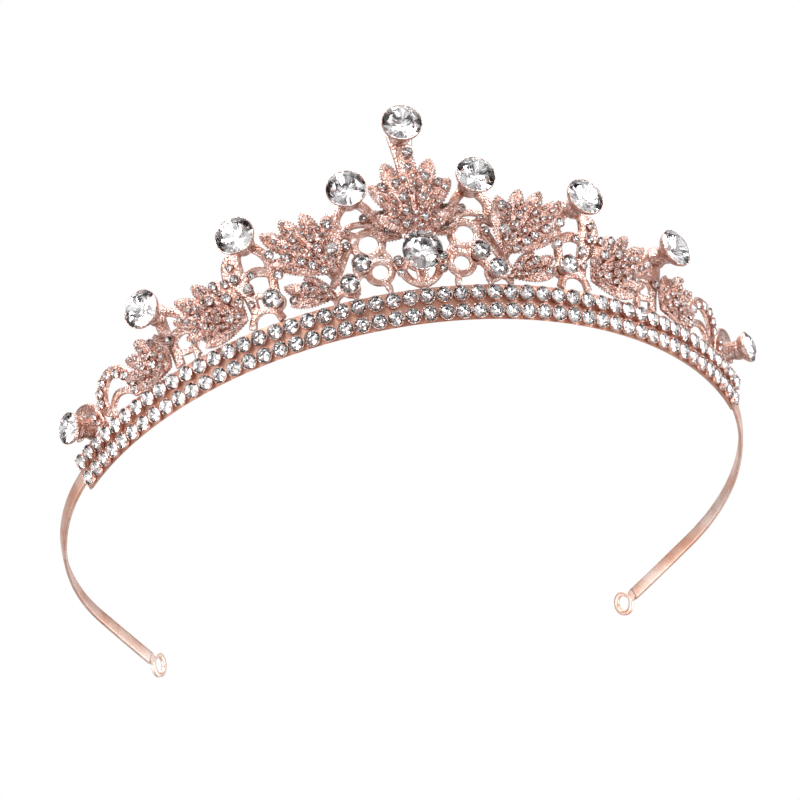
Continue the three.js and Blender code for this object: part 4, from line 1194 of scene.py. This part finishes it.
class TIARA_OT_stage(TiaraPiece, bpy.types.Operator):
    """Builds the pale floor, the soft studio light and the camera"""

    bl_idname = "tiara.stage"
    bl_label = "Stage"

    def build(self, plan):
        self.make_floor()
        self.make_world()
        self.make_lights()
        self.make_camera()
        bpy.context.scene.view_settings.view_transform = "Standard"

    def make_floor(self):
        mesh = bpy.data.meshes.new("floor")
        reach, below = 6, -0.0003
        corners = [(-reach, -reach, below), (reach, -reach, below), (reach, reach, below),
                   (-reach, reach, below)]
        mesh.from_pydata(corners, [], [(0, 1, 2, 3)])
        floor = bpy.data.objects.new("floor", mesh)
        bpy.context.scene.collection.objects.link(floor)
        # The paper neither shades the tiara nor shows in its mirrors, so the low lights reach its underside.
        floor.visible_diffuse = floor.visible_glossy = False
        floor.visible_transmission = floor.visible_shadow = False
        material = bpy.data.materials.new("matt_white_paper")
        material.use_nodes = True
        tree = material.node_tree
        tree.nodes.clear()
        output = add_node(tree, "ShaderNodeOutputMaterial")
        paper = add_node(tree, "ShaderNodeBsdfDiffuse", {"Color": (*finishes().floor, 1)})
        # The paper is seen only from above, so the tiara can be looked at from below.
        clear = add_node(tree, "ShaderNodeBsdfTransparent")
        under = add_node(tree, "ShaderNodeNewGeometry")
        both = add_node(tree, "ShaderNodeMixShader", {}, {"Fac": under.outputs["Backfacing"],
                                                          1: paper.outputs[0], 2: clear.outputs[0]})
        tree.links.new(both.outputs[0], output.inputs["Surface"])
        mesh.materials.append(material)

    def make_world(self):
        world = bpy.data.worlds.new("studio")
        world.use_nodes = True
        tree = world.node_tree
        tree.nodes.clear()
        output = add_node(tree, "ShaderNodeOutputWorld")
        direction = add_node(tree, "ShaderNodeTexCoord")
        panels = add_node(tree, "ShaderNodeTexVoronoi", {"Scale": 3.1, "distance": "CHEBYCHEV"},
                          {"Vector": direction.outputs["Generated"]})
        grey = add_node(tree, "ShaderNodeSeparateColor", {}, {"Color": panels.outputs["Color"]})
        tones = add_node(tree, "ShaderNodeValToRGB", {}, {"Fac": grey.outputs["Red"]})
        ramp = tones.color_ramp
        ramp.elements[0].position, ramp.elements[0].color = 0.2, (0.13, 0.09, 0.09, 1)
        ramp.elements[1].position, ramp.elements[1].color = 0.72, (0.76, 0.76, 0.76, 1)
        middle = ramp.elements.new(0.34)
        middle.color = (0.46, 0.43, 0.43, 1)
        surround = add_node(tree, "ShaderNodeBackground", {"Strength": 1.35},
                            {"Color": tones.outputs["Color"]})
        backdrop = add_node(tree, "ShaderNodeBackground", {"Color": (1, 1, 1, 1), "Strength": 1.0})
        path = add_node(tree, "ShaderNodeLightPath")
        both = add_node(tree, "ShaderNodeMixShader", {}, {"Fac": path.outputs["Is Camera Ray"],
                                                          1: surround.outputs[0], 2: backdrop.outputs[0]})
        tree.links.new(both.outputs[0], output.inputs["Surface"])
        bpy.context.scene.world = world

    def make_lights(self):
        for name, place, across, power in (("key", (-0.5, -0.7, 0.5), 0.6, 10),
                                           ("fill", (0.7, -0.6, 0.4), 0.5, 6),
                                           ("top", (0.05, 0.1, 0.9), 1.0, 3),
                                           ("low_left", (-0.9, -0.1, -0.5), 0.8, 5),
                                           ("low_right", (0.75, 0.1, -0.6), 0.8, 7)):
            data = bpy.data.lights.new(name, "AREA")
            data.size, data.energy = across, power
            light = bpy.data.objects.new(name, data)
            light.location = place
            light.rotation_euler = (-Vector(place)).to_track_quat("-Z", "Y").to_euler()
            bpy.context.scene.collection.objects.link(light)

    def make_camera(self):
        azimuth, elevation, roll = (math.radians(a) for a in CAMERA_TURNS)
        back = Vector((math.sin(azimuth) * math.cos(elevation), -math.cos(azimuth) * math.cos(elevation),
                       math.sin(elevation)))
        level = Vector((math.cos(azimuth), math.sin(azimuth), 0))
        right = level * math.cos(roll) + back.cross(level) * math.sin(roll)
        above = back.cross(right)
        camera = bpy.data.objects.new("camera", bpy.data.cameras.new("camera"))
        camera.data.lens, camera.data.sensor_width = 135, 36
        camera.data.clip_start = 0.05
        camera.matrix_world = Matrix((right, above, back)).transposed().to_4x4()
        camera.location = CAMERA_PLACE
        bpy.context.scene.collection.objects.link(camera)
        bpy.context.scene.camera = camera


PIECES = (TIARA_OT_strap, TIARA_OT_loops, TIARA_OT_rail, TIARA_OT_stone_rows, TIARA_OT_vines,
          TIARA_OT_scrolls, TIARA_OT_leaves, TIARA_OT_top_crystals, TIARA_OT_centre_crystal,
          TIARA_OT_side_crystals, TIARA_OT_stage)


class TIARA_PT_panel(bpy.types.Panel):
    """Lists the tiara's pieces in the sidebar"""

    bl_idname = "TIARA_PT_panel"
    bl_label = "Bridal tiara"
    bl_space_type = "VIEW_3D"
    bl_region_type = "UI"
    bl_category = "Tiara"

    def draw(self, context):
        for piece in PIECES:
            self.layout.operator(piece.bl_idname)
        for group in (context.scene.tiara_sizes, context.scene.tiara_finishes):
            box = self.layout.box()
            for name in group.bl_rna.properties.keys()[2:]:
                box.prop(group, name)


CLASSES = (TiaraSizes, TiaraFinishes, *PIECES, TIARA_PT_panel)


def register():
    for cls in CLASSES:
        bpy.utils.register_class(cls)
    bpy.types.Scene.tiara_sizes = PointerProperty(type=TiaraSizes)
    bpy.types.Scene.tiara_finishes = PointerProperty(type=TiaraFinishes)


def unregister():
    del bpy.types.Scene.tiara_finishes
    del bpy.types.Scene.tiara_sizes
    for cls in reversed(CLASSES):
        bpy.utils.unregister_class(cls)


def main():
    register()
    for piece in PIECES:
        group, name = piece.bl_idname.split(".")
        getattr(getattr(bpy.ops, group), name)()


if __name__ == "__main__":
    main()
